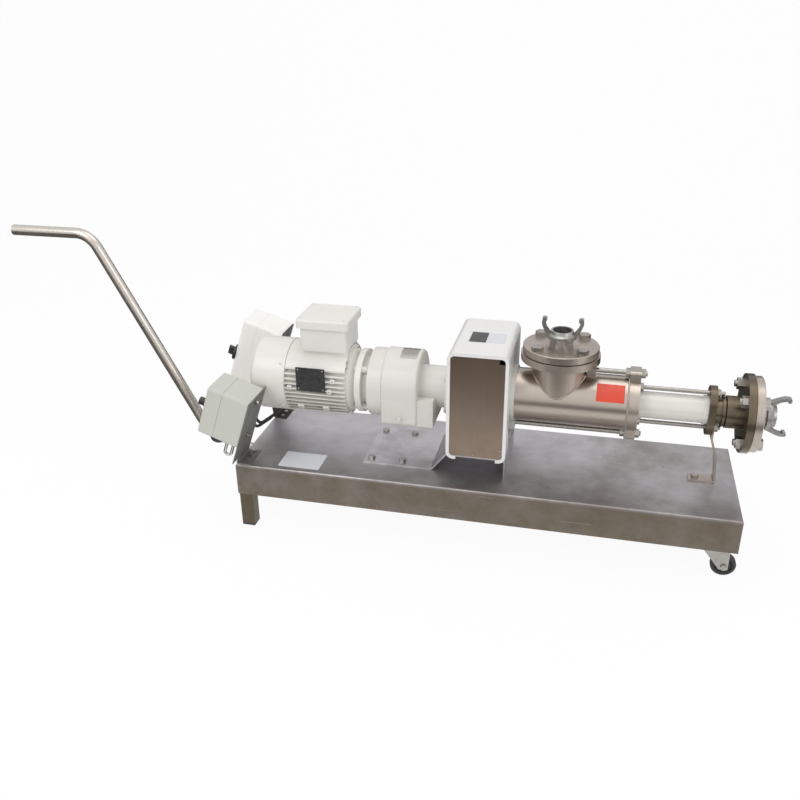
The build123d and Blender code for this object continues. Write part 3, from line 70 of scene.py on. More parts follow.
# Welds
RING_STEPS = 160
CASING_RADIUS = 0.0645
NECK_RADIUS = 0.061
NECK_FLANGE_DEPTH = 0.0172
SADDLE_LIFT, NECK_LIFT, CASING_LIFT = 0.0006, 0.0005, 0.0004
MID_FLANGE_GAP = 0.0003
CORNER_INSET = 0.0012
CORNER_RISE, CORNER_DROP = 0.002, 0.008
LEG_SIDE, LEG_INSET, LEG_DROP = 0.035, 0.001, 0.0045

# Rod threads: the casing's rods are longer and thicker than the stator's
LONG_ROD = 0.24
LONG_ROD_RADIUS, SHORT_ROD_RADIUS = 0.006, 0.005
THREAD_LENGTH = 0.004
THREAD_INSET = 0.0008
THREAD_SINK = 0.0002

# Screws, bolts and plugs
COVER_INSET = 0.012
COWL_SCREW_ANGLES = (-38, 38, 142, 218)
BRACKET_LEAN = 19
BRACKET_BOLT_Y = -0.155
BRACKET_BOLT_RISES = (0.081, 0.178)
BRACKET_FOOT_INSET, BRACKET_FOOT_RISE, BRACKET_FACE = 0.0015, 0.00125, 0.0019
OIL_PLUG_X, OIL_PLUG_DROP = 0.045, 0.058

# Plates
CORNER_STEPS = 6
PATCH_STEPS = 32
PLATE_CORNER = 0.002
RIVET_INSET = 0.006
BOSS_SINK = 0.005
GEAR_TOP_RADIUS = 0.086
# Each boss: distance along the motor frame, angle over the horizontal, side
BOSSES = (
    (0.0137, 1.3, 0.011), (0.1257, 16.7, 0.011), (0.1177, -0.6, 0.011), (0.0353, -38.5, 0.016),
    (0.1017, -38.5, 0.016),
)

# Stage
FLOOR_FRONT, FLOOR_BACK, FLOOR_SIDE = -6.0, 2.2, 7.0
FLOOR_BEND, FLOOR_TOP, FLOOR_STEPS = 1.4, 3.2, 24
FLOOR_GLOW = 0.94
WORLD_GREY = (0.62, 0.62, 0.62, 1.0)
WHITE = (1.0, 1.0, 1.0, 1.0)
LAMP_TARGET = (0.2, 0, 0.25)
# Each lamp: name, location, size, power
LAMPS = (
    ("key_lamp", (-1.6, -2.4, 3.0), 1.8, 36.0),
    ("fill_lamp", (2.6, -1.6, 1.8), 1.6, 14.0),
    ("top_lamp", (0.3, 0.2, 3.0), 2.0, 16.0),
)
WARM, COOL = (1.0, 0.93, 0.84), (0.97, 0.97, 1.0)
# Each card that only reflections show: name, location, size, turn in degrees, level, tone
CARDS = (
    ("floor_card_front", (0.3, -2.6, 0.012), (8.0, 3.6), (0, 0, 0), 0.12, WARM),
    ("floor_card_left", (-2.2, 0.6, 0.012), (3.2, 3.0), (0, 0, 0), 0.16, WARM),
    ("floor_card_back", (1.6, 1.75, 0.012), (2.8, 2.6), (0, 0, 0), 0.06, WARM),
    ("horizon_card", (-0.2, 2.4, 0.6), (7.0, 0.9), (90, 0, 0), 0.04, WARM),
    ("back_card", (-0.2, 2.4, 2.4), (6.5, 2.4), (90, 0, 0), 0.85, COOL),
    ("left_card", (-3.4, 0.6, 1.0), (4.0, 1.9), (90, 0, 90), 0.1, WARM),
)
CAMERA_PLACE = (0.52825, -1.914, 1.253)
CAMERA_YAW, CAMERA_PITCH, CAMERA_ROLL = 13.836, 25.407, -0.716
SENSOR_WIDTH, FOCAL_LENGTH = 36.0, 38.75
CLIP_NEAR, CLIP_FAR = 0.05, 60.0


def linear(red, green, blue):
    """Linear colour of an sRGB colour given as 0 to 255."""
    levels = []
    for value in (red, green, blue):
        share = value / 255
        levels.append(share / 12.92 if share <= 0.04045 else ((share + 0.055) / 1.055) ** 2.4)
    return tuple(levels)


def colour(name, description, red, green, blue):
    """A colour property whose default is an sRGB colour."""
    return FloatVectorProperty(
        name=name, description=description, subtype="COLOR", size=3, min=0, max=1,
        default=linear(red, green, blue),
    )


def length(name, description, default):
    """A length property in metres."""
    return FloatProperty(
        name=name, description=description, default=default, min=0.00005, subtype="DISTANCE", unit="LENGTH"
    )


class PumpColours(bpy.types.PropertyGroup):
    """Base colours of the finishes."""

    tray: colour("Tray sheet", "Stainless sheet of the tray and foot", 208, 206, 209)
    # This brown also paints the dark reflection low on the handle tube.
    soil_and_shade_brown: colour("Tray soil", "Brown film on the tray's skirt", 112, 101, 87)
    leg: colour("Leg sheet", "Brownish tube of the legs", 102, 93, 79)
    tube: colour("Handle tube", "Stainless tube of the handle", 202, 196, 188)
    pump: colour("Pump metal", "Satin stainless of the casing and flanges", 186, 175, 165)
    # The port's darker tint is a painted dark reflection of the surroundings that the port mirrors.
    port: colour("Port metal", "Darker cast stainless of the discharge port", 112, 101, 86)
    polished: colour("Polished steel", "Bright steel of the hook and rotor", 205, 205, 205)
    machined: colour("Machined steel", "Turned shafts and bearings", 178, 178, 178)
    zinc: colour("Zinc plate", "Bolts, rods and casters", 176, 172, 166)
    galvanised: colour("Galvanised iron", "Hose couplings", 168, 166, 162)
    enamel: colour("Enamel", "White paint of the motor", 229, 227, 221)
    gear_enamel: colour("Gear enamel", "White paint of the gear unit and lantern", 219, 217, 211)
    tube_paint: colour("Stator paint", "Gloss paint of the stator tube", 222, 219, 212)
    moulding: colour("Guard moulding", "White moulding of the guard hood", 232, 231, 229)
    box: colour("Box moulding", "Pale grey of the near control box", 200, 201, 193)
    far_box: colour("Far box moulding", "Warm white of the far control box", 252, 250, 245)
    bracket: colour("Bracket steel", "Dull sheet of the box brackets", 152, 152, 147)
    # The far bracket's dark tint is painted shade: the same dull sheet as the near bracket, darkened because
    # it stands on the shadow side.
    far_bracket: colour("Far bracket steel", "Dark sheet of the far box bracket", 78, 76, 73)
    guard_sheet: colour("Guard sheet", "Dark reflecting side plates of the guard", 158, 140, 126)
    black: colour("Black plastic", "Knobs, glands and caps", 42, 42, 43)
    rubber: colour("Black rubber", "Cables and stator lining", 34, 34, 35)
    tyre: colour("Tyre", "Caster tyres", 38, 38, 39)
    gear: colour("Gear steel", "Oiled gears", 120, 118, 116)
    laminations: colour("Laminations", "Varnished motor core", 96, 88, 84)
    gasket: colour("Gasket", "Flange gaskets", 38, 37, 36)
    tag: colour("Tag", "Blank tag on the casing", 218, 70, 48)
    plate: colour("Blank plate", "Blank plate on the tray", 216, 218, 224)
    name_plate: colour("Motor plate", "Blank black plate on the motor", 44, 44, 46)
    floor: colour("Floor", "Floor and backdrop", 253, 253, 253)


class PumpSizes(bpy.types.PropertyGroup):
    """Sizes of the small parts."""

    bead_radius: length("Weld bead radius", "Half width of the pump's weld beads", 0.0024)
    bead_pitch: length("Weld ripple pitch", "Distance between two ripples of the pump's beads", 0.0016)
    tray_bead_radius: length("Tray bead radius", "Half width of the tray's weld beads", 0.0014)
    tray_bead_pitch: length("Tray ripple pitch", "Distance between two ripples of the tray's beads", 0.0012)
    thread_pitch: length("Thread pitch", "Pitch of the rod threads", 0.001225)
    thread_depth: length("Thread depth", "Height of a thread over its core", 0.00036)
    screw_radius: length("Screw head radius", "Radius of the cover screws' heads", 0.0032)
    bolt_radius: length("Bracket bolt radius", "Radius of the bracket bolts' hexagons", 0.0052)
    plug_radius: length("Oil plug radius", "Radius of the oil plugs' hexagons", 0.006)
    rivet_radius: length("Rivet radius", "Radius of the plates' rivets", 0.0022)
    plate_thickness: length("Plate thickness", "Thickness of the blank plates", 0.0008)
    boss_height: length("Boss height", "Height of the motor frame's square bosses", 0.008)


# Shader groups


class Net:
    """A node tree under construction."""

    def __init__(self, tree):
        self.tree = tree

    def add(self, kind, values=None, **settings):
        """Add a node, set its properties and fill or link its inputs."""
        node = self.tree.nodes.new(kind)
        for key, value in settings.items():
            setattr(node, key, value)
        for key, value in (values or {}).items():
            self.feed(node.inputs[key], value)
        return node

    def feed(self, socket, value):
        """Link a socket to another one, or set it to a value."""
        if isinstance(value, bpy.types.NodeSocket):
            self.tree.links.new(value, socket)
        else:
            socket.default_value = value

    def math(self, operation, first, second=0.0, clamp=False):
        """One arithmetic step."""
        values = {0: first, 1: second}
        return self.add("ShaderNodeMath", values, operation=operation, use_clamp=clamp).outputs[0]

    def mix(self, share, first, second):
        """Mix two colours."""
        values = {0: share, 6: first, 7: second}
        return self.add("ShaderNodeMix", values, data_type="RGBA").outputs[2]

    def spread(self, value, low, high, to_low=0.0, to_high=1.0):
        """Map a range of values onto another one, softly and clamped."""
        values = {0: value, 1: low, 2: high, 3: to_low, 4: to_high}
        return self.add("ShaderNodeMapRange", values, interpolation_type="SMOOTHSTEP").outputs[0]

    def noise(self, vector, scale, detail, **more):
        """Value of a noise texture."""
        values = {"Vector": vector, "Scale": scale, "Detail": detail, **more}
        return self.add("ShaderNodeTexNoise", values).outputs[0]


def new_tree(kind, name, inputs, outputs):
    """An empty node group with named sockets, as (group, net, its inputs, its outputs)."""
    group = bpy.data.node_groups.new(name, kind)
    for label, socket_type, default in inputs:
        socket = group.interface.new_socket(name=label, in_out="INPUT", socket_type=socket_type)
        if default is not None:
            socket.default_value = default
    for label, socket_type in outputs:
        group.interface.new_socket(name=label, in_out="OUTPUT", socket_type=socket_type)
    net = Net(group)
    return group, net, net.add("NodeGroupInput").outputs, net.add("NodeGroupOutput").inputs


def blotches_group():
    """Soft cloudy patches, such as water marks and film on metal."""
    group, net, start, end = new_tree(
        "ShaderNodeTree",
        "Blotches",
        [("Vector", VECTOR, None), ("Scale", NUMBER, 6.0), ("Low", NUMBER, 0.4), ("High", NUMBER, 0.65)],
        [("Mask", NUMBER)],
    )
    vector, scale = start["Vector"], start["Scale"]
    wide = net.noise(vector, scale, 5.0, Roughness=0.6, Distortion=0.6)
    fine = net.noise(vector, net.math("MULTIPLY", scale, 5.3), 4.0, Roughness=0.65)
    total = net.math("ADD", net.math("MULTIPLY", wide, 0.75), net.math("MULTIPLY", fine, 0.25))
    net.feed(end["Mask"], net.spread(total, start["Low"], start["High"]))
    return group


def grain_group():
    """Fine streaks of brushed or turned metal, stretched along one direction."""
    group, net, start, end = new_tree(
        "ShaderNodeTree",
        "Brushed Grain",
        [("Vector", VECTOR, None), ("Stretch", VECTOR, (20.0, 600.0, 600.0))],
        [("Value", NUMBER)],
    )
    stretched = {"Vector": start["Vector"], "Scale": start["Stretch"]}
    place = net.add("ShaderNodeMapping", stretched).outputs[0]
    net.feed(end["Value"], net.noise(place, 1.0, 3.0, Roughness=0.7))
    return group


def paint_group():
    """Slight orange peel and cast unevenness of a painted surface."""
    group, net, start, end = new_tree(
        "ShaderNodeTree",
        "Paint Surface",
        [("Vector", VECTOR, None), ("Peel", NUMBER, 420.0), ("Cast", NUMBER, 55.0)],
        [("Height", NUMBER)],
    )
    peel = net.noise(start["Vector"], start["Peel"], 2.0)
    cast = net.noise(start["Vector"], start["Cast"], 4.0)
    height = net.math("ADD", net.math("MULTIPLY", peel, 0.3), net.math("MULTIPLY", cast, 0.7))
    net.feed(end["Height"], height)
    return group


def scratches_group():
    """Thin random scratches in three directions, gathered in places."""
    group, net, start, end = new_tree(
        "ShaderNodeTree",
        "Scratches",
        [("Vector", VECTOR, None), ("Scale", NUMBER, 14.0), ("Level", NUMBER, 0.72)],
        [("Mask", NUMBER)],
    )
    vector = start["Vector"]
    gate = net.spread(net.noise(vector, start["Scale"], 2.0), 0.5, 0.66)
    total = None
    for turn in (0.15, 1.9, 2.7):
        stretched = {"Vector": vector, "Rotation": (0.0, 0.0, turn), "Scale": (3.0, 260.0, 260.0)}
        lines = net.noise(net.add("ShaderNodeMapping", stretched).outputs[0], 1.0, 1.0)
        line = net.math("MULTIPLY", net.math("GREATER_THAN", lines, start["Level"]), gate)
        total = line if total is None else net.math("ADD", total, line, clamp=True)
    net.feed(end["Mask"], total)
    return group


def dust_group():
    """Dust that lies on faces which look up."""
    group, net, start, end = new_tree(
        "ShaderNodeTree",
        "Settled Dust",
        [("Vector", VECTOR, None), ("Normal", VECTOR, None), ("Amount", NUMBER, 0.3)],
        [("Mask", NUMBER)],
    )
    parts = net.add("ShaderNodeSeparateXYZ", {0: start["Normal"]})
    cloud = net.spread(net.noise(start["Vector"], 24.0, 5.0), 0.3, 0.7, 0.35, 1.0)
    dust = net.math("MULTIPLY", net.spread(parts.outputs[2], 0.35, 0.95), cloud)
    net.feed(end["Mask"], net.math("MULTIPLY", dust, start["Amount"]))
    return group


def grime_and_shade_group():
    """Darkening that gathers in patches, heavier toward the low end of the vector's Z: soil on the painted
    finishes, the tray's skirt and the guard plates, a painted dark reflection on the handle tube.
    """
    group, net, start, end = new_tree(
        "ShaderNodeTree",
        "Low Grime",
        [
            ("Vector", VECTOR, None), ("Bottom", NUMBER, 0.0), ("Top", NUMBER, 0.1),
            ("Amount", NUMBER, 0.5), ("Cover", NUMBER, 0.25),
        ],
        [("Mask", NUMBER)],
    )
    parts = net.add("ShaderNodeSeparateXYZ", {0: start["Vector"]})
    fall = net.add(
        "ShaderNodeMapRange",
        {0: parts.outputs[2], 1: start["Bottom"], 2: start["Top"], 3: 1.0, 4: 0.0},
    )
    cloud = net.noise(start["Vector"], 17.0, 6.0, Roughness=0.65)
    cover = net.spread(cloud, 0.35, 0.7, start["Cover"], 1.0)
    grime_and_shade_tint = net.math("MULTIPLY", fall.outputs[0], cover)
    net.feed(end["Mask"], net.math("MULTIPLY", grime_and_shade_tint, start["Amount"], clamp=True))
    return group


GROUP_MAKERS = {
    "Blotches": blotches_group,
    "Brushed Grain": grain_group,
    "Paint Surface": paint_group,
    "Scratches": scratches_group,
    "Settled Dust": dust_group,
    "Low Grime": grime_and_shade_group,
}


def effect(net, name, **values):
    """Place a shared effect in a material and return its output socket."""
    group = bpy.data.node_groups.get(name) or GROUP_MAKERS[name]()
    node = net.tree.nodes.new("ShaderNodeGroup")
    node.node_tree = group
    for key, value in values.items():
        net.feed(node.inputs[key], value)
    return node.outputs[0]


def shade(share, tint):
    """A colour scaled by a share, with alpha."""
    return (tint[0] * share, tint[1] * share, tint[2] * share, 1.0)


def new_material(name):
    """An empty material, as (material, net, object coordinate, object normal, principled shader)."""
    material = bpy.data.materials.new(name)
    material.use_nodes = True
    net = Net(material.node_tree)
    principled = material.node_tree.nodes["Principled BSDF"]
    place = net.add("ShaderNodeTexCoord")
    return material, net, place.outputs["Object"], place.outputs["Normal"], principled


def close_material(net, principled, base, rough, height, strength, distance, **levels):
    """Feed a principled shader its colour, roughness, bump from a height and other levels."""
    relief = {"Strength": strength, "Distance": distance, "Height": height}
    values = {"Base Color": base, "Roughness": rough, "Normal": net.add("ShaderNodeBump", relief).outputs[0]}
    for key, value in {**values, **levels}.items():
        net.feed(principled.inputs[key], value)


def satin_metal(
    name, tint, roughness, stretch, streak, patch, soil=None, metallic=1.0, patch_scale=7.0, grime_and_shade=(),
    scratch=0.0, unevenness=0.12,
):
    """Brushed or satin metal with cloudy patches, optional brown film, darkening low down and scratches.

    Each low darkening is the axis it falls along, its heavy end, its clean end, amount, cover and colour. On
    the handle tube it is a painted dark reflection.
    """
    material, net, place, _, principled = new_material(name)
    streaks = effect(net, "Brushed Grain", Vector=place, Stretch=stretch)
    patches = effect(net, "Blotches", Vector=place, Scale=patch_scale, Low=0.38, High=0.66)
    base = net.mix(net.spread(streaks, 0.3, 0.7), shade(1 - streak, tint), shade(1 + streak, tint))
    base = net.mix(net.math("MULTIPLY", patches, patch * 4, clamp=True), base, shade(0.72, tint))
    if soil is not None:
        film = effect(net, "Blotches", Vector=place, Scale=patch_scale * 0.55, Low=0.42, High=0.72)
        base = net.mix(net.math("MULTIPLY", film, 0.55), base, shade(1.0, soil))
    for axis, bottom, top, amount, cover, grime_and_shade_tint in grime_and_shade:
        along = place
        if axis == "Y":
            x, y, z = net.add("ShaderNodeSeparateXYZ", {0: place}).outputs
            along = net.add("ShaderNodeCombineXYZ", {0: x, 1: z, 2: y}).outputs[0]
        grime_and_shade_mask = effect(net, "Low Grime", Vector=along, Bottom=bottom, Top=top, Amount=amount, Cover=cover)
        base = net.mix(grime_and_shade_mask, base, shade(1.0, grime_and_shade_tint))
    if scratch:
        marks = effect(net, "Scratches", Vector=place, Scale=9.0, Level=0.74)
        base = net.mix(net.math("MULTIPLY", marks, scratch), base, shade(1.5, tint))
    rough = net.spread(patches, 0.0, 1.0, roughness, roughness + unevenness)
    close_material(net, principled, base, rough, streaks, 0.12, 0.0004, Metallic=metallic)
    return material


def painted(name, tint, roughness, relief, dust, coat=0.2, grime_and_shade=None):
    """Painted or moulded surface with a slight unevenness, dust and optional soil low down.

    The soil is its heavy height, its clean height, amount and colour.
    """
    material, net, place, normal, principled = new_material(name)
    height = effect(net, "Paint Surface", Vector=place, Peel=420.0, Cast=60.0)
    patches = effect(net, "Blotches", Vector=place, Scale=9.0, Low=0.4, High=0.7)
    base = net.mix(net.math("MULTIPLY", patches, 0.25), shade(1.0, tint), shade(0.93, tint))
    settled = effect(net, "Settled Dust", Vector=place, Normal=normal, Amount=dust)
    base = net.mix(net.math("MULTIPLY", settled, 0.3), base, PAINT_DUST)
    if grime_and_shade is not None:
        bottom, top, amount, grime_and_shade_tint = grime_and_shade
        grime_and_shade_mask = effect(net, "Low Grime", Vector=place, Bottom=bottom, Top=top, Amount=amount)
        base = net.mix(grime_and_shade_mask, base, shade(1.0, grime_and_shade_tint))
    rough = net.spread(settled, 0.0, 0.3, roughness, roughness + 0.2)
    gloss = {"Coat Weight": coat, "Coat Roughness": 0.15}
    close_material(net, principled, base, rough, height, relief, 0.0006, **gloss)
    return material


def matt(name, tint, roughness, lighter=1.35):
    """Black plastic or rubber with a fine grain and faint dust."""
    material, net, place, normal, principled = new_material(name)
    height = effect(net, "Paint Surface", Vector=place, Peel=900.0, Cast=140.0)
    settled = effect(net, "Settled Dust", Vector=place, Normal=normal, Amount=0.5)
    base = net.mix(net.spread(height, 0.35, 0.65), shade(0.85, tint), shade(lighter, tint))
    base = net.mix(net.math("MULTIPLY", settled, 0.25), base, RUBBER_DUST)
    rough = net.spread(height, 0.3, 0.7, roughness - 0.08, roughness + 0.1)
    close_material(net, principled, base, rough, height, 0.3, 0.0004)
    return material


def cast_metal(name, tint, roughness=0.32, metallic=0.9, spangle=160.0):
    """Galvanised or oiled cast metal with crystal patches."""
    material, net, place, _, principled = new_material(name)
    cells = net.add("ShaderNodeTexVoronoi", {"Vector": place, "Scale": spangle})
    parts = net.add("ShaderNodeSeparateXYZ", {0: cells.outputs["Color"]})
    height = effect(net, "Paint Surface", Vector=place, Peel=700.0, Cast=220.0)
    patches = effect(net, "Blotches", Vector=place, Scale=30.0, Low=0.4, High=0.66)
    base = net.mix(net.spread(parts.outputs[0], 0.1, 0.9), shade(0.86, tint), shade(1.1, tint))
    base = net.mix(net.math("MULTIPLY", patches, 0.4), base, shade(0.55, tint))
    rough = net.spread(patches, 0.0, 1.0, roughness, roughness + 0.15)
    close_material(net, principled, base, rough, height, 0.45, 0.0005, Metallic=metallic)
    return material


NODE_FINISHES = {
    "tray": ["deck_tray"],
    "legs": ["legs", "handle_flange"],
    "foot": ["lantern_foot"],
    "tube": ["handle_tube"],
    "casing": ["pump_casing"],
    "pump": ["discharge_flange", "discharge_support", "mid_flange", "suction_flange"],
    "port": ["discharge_port"],
    "polished": ["near_cable_hook", "pump_rotor"],
    "machined": ["ball_bearings", "connecting_rod", "drive_shaft", "motor_shaft"],
    "zinc": [
        "anchor_bolts", "bracket_screws", "caster_bolts", "caster_plates", "far_caster_fork", "flange_bolts",
        "near_caster_fork", "tie_rods",
    ],
    "galvanised": ["discharge_coupling", "suction_coupling"],
    "enamel": ["gear_adapter", "gear_housing", "lantern", "housing_bolts"],
    "motor_enamel": [
        "fan_cowl", "motor_frame", "motor_front_shield", "motor_rear_shield", "terminal_box",
        "terminal_box_lid",
    ],
    "tube_paint": ["stator_tube"],
    "moulding": ["guard_hood"],
    "box": ["near_control_box"],
    "far_box": ["far_control_box"],
    "bracket": ["near_bracket"],
    "far_bracket": ["far_bracket"],
    "guard_sheet": ["guard_side_plates"],
    "black": [
        "cable_glands", "cooling_fan", "far_control_knob", "leg_caps", "near_cable_inlet",
        "near_control_knob",
    ],
    "rubber": ["control_cables", "shaft_seal", "stator_lining"],
    "tyre": ["far_caster_wheel", "near_caster_wheel"],
    "gear": ["intermediate_gears", "motor_pinion", "output_wheel"],
    "laminations": ["motor_stator_core"],
    "gasket": ["flange_gaskets"],
}


def make_finishes(tints):
    """Every material by its key."""
    brown = tints.soil_and_shade_brown
    near_side_tint, plate_film = linear(118, 110, 104), linear(96, 84, 74)
    gear_dirt, motor_dirt = linear(170, 164, 146), linear(160, 154, 138)
    flat_brush, upright_brush = (9.0, 260.0, 260.0), (260.0, 260.0, 9.0)
    turned, dull = (420.0, 60.0, 60.0), (200.0, 200.0, 200.0)
    return {
        "tray": satin_metal(
            "Tray sheet", tints.tray, 0.42, flat_brush, 0.05, 0.1, soil=brown, patch_scale=5.0,
            # The sheet darkens toward its near side in a grey tint; below the deck top the skirt turns brown
            # with soil.
            grime_and_shade=[("Y", -0.21, 0.03, 0.75, 0.6, near_side_tint), ("Z", 0.172, 0.1796, 0.92, 0.82, brown)],
            scratch=0.14,
        ),
        "legs": satin_metal("Leg sheet", tints.leg, 0.42, upright_brush, 0.06, 0.12, soil=brown),
        "foot": satin_metal(
            "Foot sheet", tints.tray, 0.36, flat_brush, 0.05, 0.1, soil=tints.leg, patch_scale=9.0
        ),
        "tube": satin_metal(
            "Handle tube", tints.tube, 0.26, (45.0, 45.0, 45.0), 0.02, 0.04,
            # Darker brown toward the handle's low end: a painted dark reflection of the floor and room.
            grime_and_shade=[("Z", 0.1, 0.7, 0.2, 0.25, brown)],
        ),
        "casing": satin_metal(
            "Casing metal", tints.pump, 0.3, (520.0, 520.0, 520.0), 0.04, 0.07, patch_scale=4.0
        ),
        "pump": satin_metal("Pump metal", tints.pump, 0.3, turned, 0.07, 0.08, patch_scale=14.0),
        # Painted dark reflection: the port's tint is lowered to stand in for the dark surroundings it
        # mirrors.
        "port": satin_metal("Port metal", tints.port, 0.3, turned, 0.1, 0.12, patch_scale=14.0),
        "polished": satin_metal("Polished steel", tints.polished, 0.12, (300.0, 30.0, 300.0), 0.03, 0.03),
        "machined": satin_metal("Machined steel", tints.machined, 0.26, (900.0, 30.0, 30.0), 0.08, 0.05),
        "zinc": satin_metal(
            "Zinc plate", tints.zinc, 0.24, (60.0, 60.0, 60.0), 0.06, 0.14, patch_scale=60.0
        ),
        "galvanised": cast_metal("Galvanised iron", tints.galvanised),
        "enamel": painted(
            "White enamel", tints.gear_enamel, 0.38, 0.35, 0.3, grime_and_shade=(0.28, 0.4, 0.2, gear_dirt)
        ),
        "motor_enamel": painted(
            "Motor enamel", tints.enamel, 0.4, 0.45, 0.25, grime_and_shade=(0.27, 0.4, 0.3, motor_dirt)
        ),
        "tube_paint": painted("Stator paint", tints.tube_paint, 0.22, 0.12, 0.1, coat=0.5),
        "moulding": painted("Guard moulding", tints.moulding, 0.3, 0.1, 0.1, coat=0.3),
        "box": painted("Box moulding", tints.box, 0.5, 0.2, 0.2, coat=0.0),
        "far_box": painted("Far box moulding", tints.far_box, 0.45, 0.2, 0.2, coat=0.1),
        "bracket": satin_metal("Bracket steel", tints.bracket, 0.5, dull, 0.05, 0.12, metallic=0.85),
        # Painted shade: the far bracket is the near bracket's sheet, darkened for its shadow side.
        "far_bracket": satin_metal(
            "Far bracket steel", tints.far_bracket, 0.5, dull, 0.05, 0.12, metallic=0.85
        ),
        "guard_sheet": satin_metal(
            "Guard sheet", tints.guard_sheet, 0.3, (200.0, 200.0, 6.0), 0.03, 0.02, patch_scale=3.0,
            grime_and_shade=[("Z", 0.22, 0.46, 0.3, 0.25, plate_film)], unevenness=0.03,
        ),
        "black": matt("Black plastic", tints.black, 0.45),
        "rubber": matt("Black rubber", tints.rubber, 0.42),
        "tyre": matt("Tyre rubber", tints.tyre, 0.55),
        "gear": cast_metal("Gear steel", tints.gear, 0.35, 1.0, 400.0),
        "laminations": cast_metal("Laminations", tints.laminations, 0.5, 0.6, 500.0),
        "gasket": matt("Gasket", tints.gasket, 0.7),
        "tag": painted("Red tag", tints.tag, 0.45, 0.08, 0.1, coat=0.1),
        "plate": painted("Blank plate", tints.plate, 0.35, 0.05, 0.2),
        "name_plate": matt("Motor plate", tints.name_plate, 0.4, lighter=1.6),
        "weld": satin_metal(
            "Weld metal", tints.pump, 0.26, (300.0, 300.0, 300.0), 0.12, 0.2, patch_scale=50.0
        ),
    }


# Geometry Nodes trees


def geometry_tree(name, inputs):
    """An empty geometry tree with named inputs after its geometry."""
    inputs = [("Geometry", GEOMETRY, None), *inputs]
    return new_tree("GeometryNodeTree", name, inputs, [("Geometry", GEOMETRY)])


def close_tree(net, start, end, points, piece, turn, **more):
    """Place a piece at each point, realise the instances and set the material."""
    values = {"Points": points, "Instance": piece, "Rotation": turn, **more}
    placed = net.add("GeometryNodeInstanceOnPoints", values)
    real = net.add("GeometryNodeRealizeInstances", {"Geometry": placed.outputs[0]})
    values = {"Geometry": real.outputs[0], "Material": start["Material"]}
    net.feed(end["Geometry"], net.add("GeometryNodeSetMaterial", values).outputs[0])


def stored_direction(net):
    """The direction kept on each point."""
    values = {"Name": "direction"}
    return net.add("GeometryNodeInputNamedAttribute", values, data_type="FLOAT_VECTOR").outputs[0]


def turned_to(net, vector):
    """Rotation that turns Z to a vector."""
    return net.add("FunctionNodeAlignRotationToVector", {"Vector": vector}, axis="Z").outputs[0]


def random_value(net, low, high, seed):
    """A random number for each point."""
    values = {2: low, 3: high, 8: seed}
    return net.add("FunctionNodeRandomValue", values, data_type="FLOAT").outputs[1]


def placed_tree():
    """One small piece at every point, its Z turned to the point's direction."""
    group, net, start, end = geometry_tree(
        "Pieces On Points",
        [("Piece", OBJECT, None), ("Size", NUMBER, 1.0), ("Seed", WHOLE, 3), ("Material", MATERIAL, None)],
    )
    piece = net.add("GeometryNodeObjectInfo", {"Object": start["Piece"]})
    spin = random_value(net, 0.0, 2 * pi, start["Seed"])
    about = net.add("FunctionNodeAxisAngleToRotation", {"Axis": (0.0, 0.0, 1.0), "Angle": spin})
    both = net.add(
        "FunctionNodeRotateRotation",
        {"Rotation": turned_to(net, stored_direction(net)), "Rotate By": about.outputs[0]},
        rotation_space="LOCAL",
    )
    points, size = start["Geometry"], start["Size"]
    close_tree(net, start, end, points, piece.outputs["Geometry"], both.outputs[0], Scale=size)
    return group


def bead_tree():
    """A rippled weld bead along the edges of a line mesh."""
    group, net, start, end = geometry_tree(
        "Weld Bead",
        [
            ("Radius", NUMBER, 0.0024), ("Pitch", NUMBER, 0.0016), ("Seed", WHOLE, 5),
            ("Material", MATERIAL, None),
        ],
    )
    curve = net.add("GeometryNodeMeshToCurve", {0: start["Geometry"]})
    even = {0: curve.outputs[0], "Length": start["Pitch"]}
    evened = net.add("GeometryNodeResampleCurve", even, mode="LENGTH")
    turn = turned_to(net, net.add("GeometryNodeInputTangent").outputs[0])
    ball = {"Segments": 12, "Rings": 6, "Radius": start["Radius"]}
    drop = net.add("GeometryNodeMeshUVSphere", ball)
    size = random_value(net, 0.88, 1.06, start["Seed"])
    scale = net.add("ShaderNodeCombineXYZ", {0: size, 1: size, 2: 0.62})
    close_tree(net, start, end, evened.outputs[0], drop.outputs[0], turn, Scale=scale.outputs[0])
    return group


def thread_tree():
    """A helical thread at every point, running along the point's direction."""
    group, net, start, end = geometry_tree(
        "Thread",
        [
            ("Radius", NUMBER, 0.006), ("Length", NUMBER, 0.004), ("Pitch", NUMBER, 0.001225),
            ("Depth", NUMBER, 0.00036), ("Material", MATERIAL, None),
        ],
    )
    turns = net.math("DIVIDE", start["Length"], start["Pitch"])
    spiral = net.add(
        "GeometryNodeCurveSpiral",
        {
            "Resolution": 28, "Rotations": turns, "Start Radius": start["Radius"],
            "End Radius": start["Radius"], "Height": start["Length"],
        },
    )
    section = {"Resolution": 6, "Radius": start["Depth"]}
    profile = net.add("GeometryNodeCurvePrimitiveCircle", section)
    ridge = net.add(
        "GeometryNodeCurveToMesh",
        {"Curve": spiral.outputs[0], "Profile Curve": profile.outputs[0], "Fill Caps": True},
    )
    turn = turned_to(net, stored_direction(net))
    close_tree(net, start, end, start["Geometry"], ridge.outputs[0], turn)
    return group


TREE_MAKERS = {"Pieces On Points": placed_tree, "Weld Bead": bead_tree, "Thread": thread_tree}


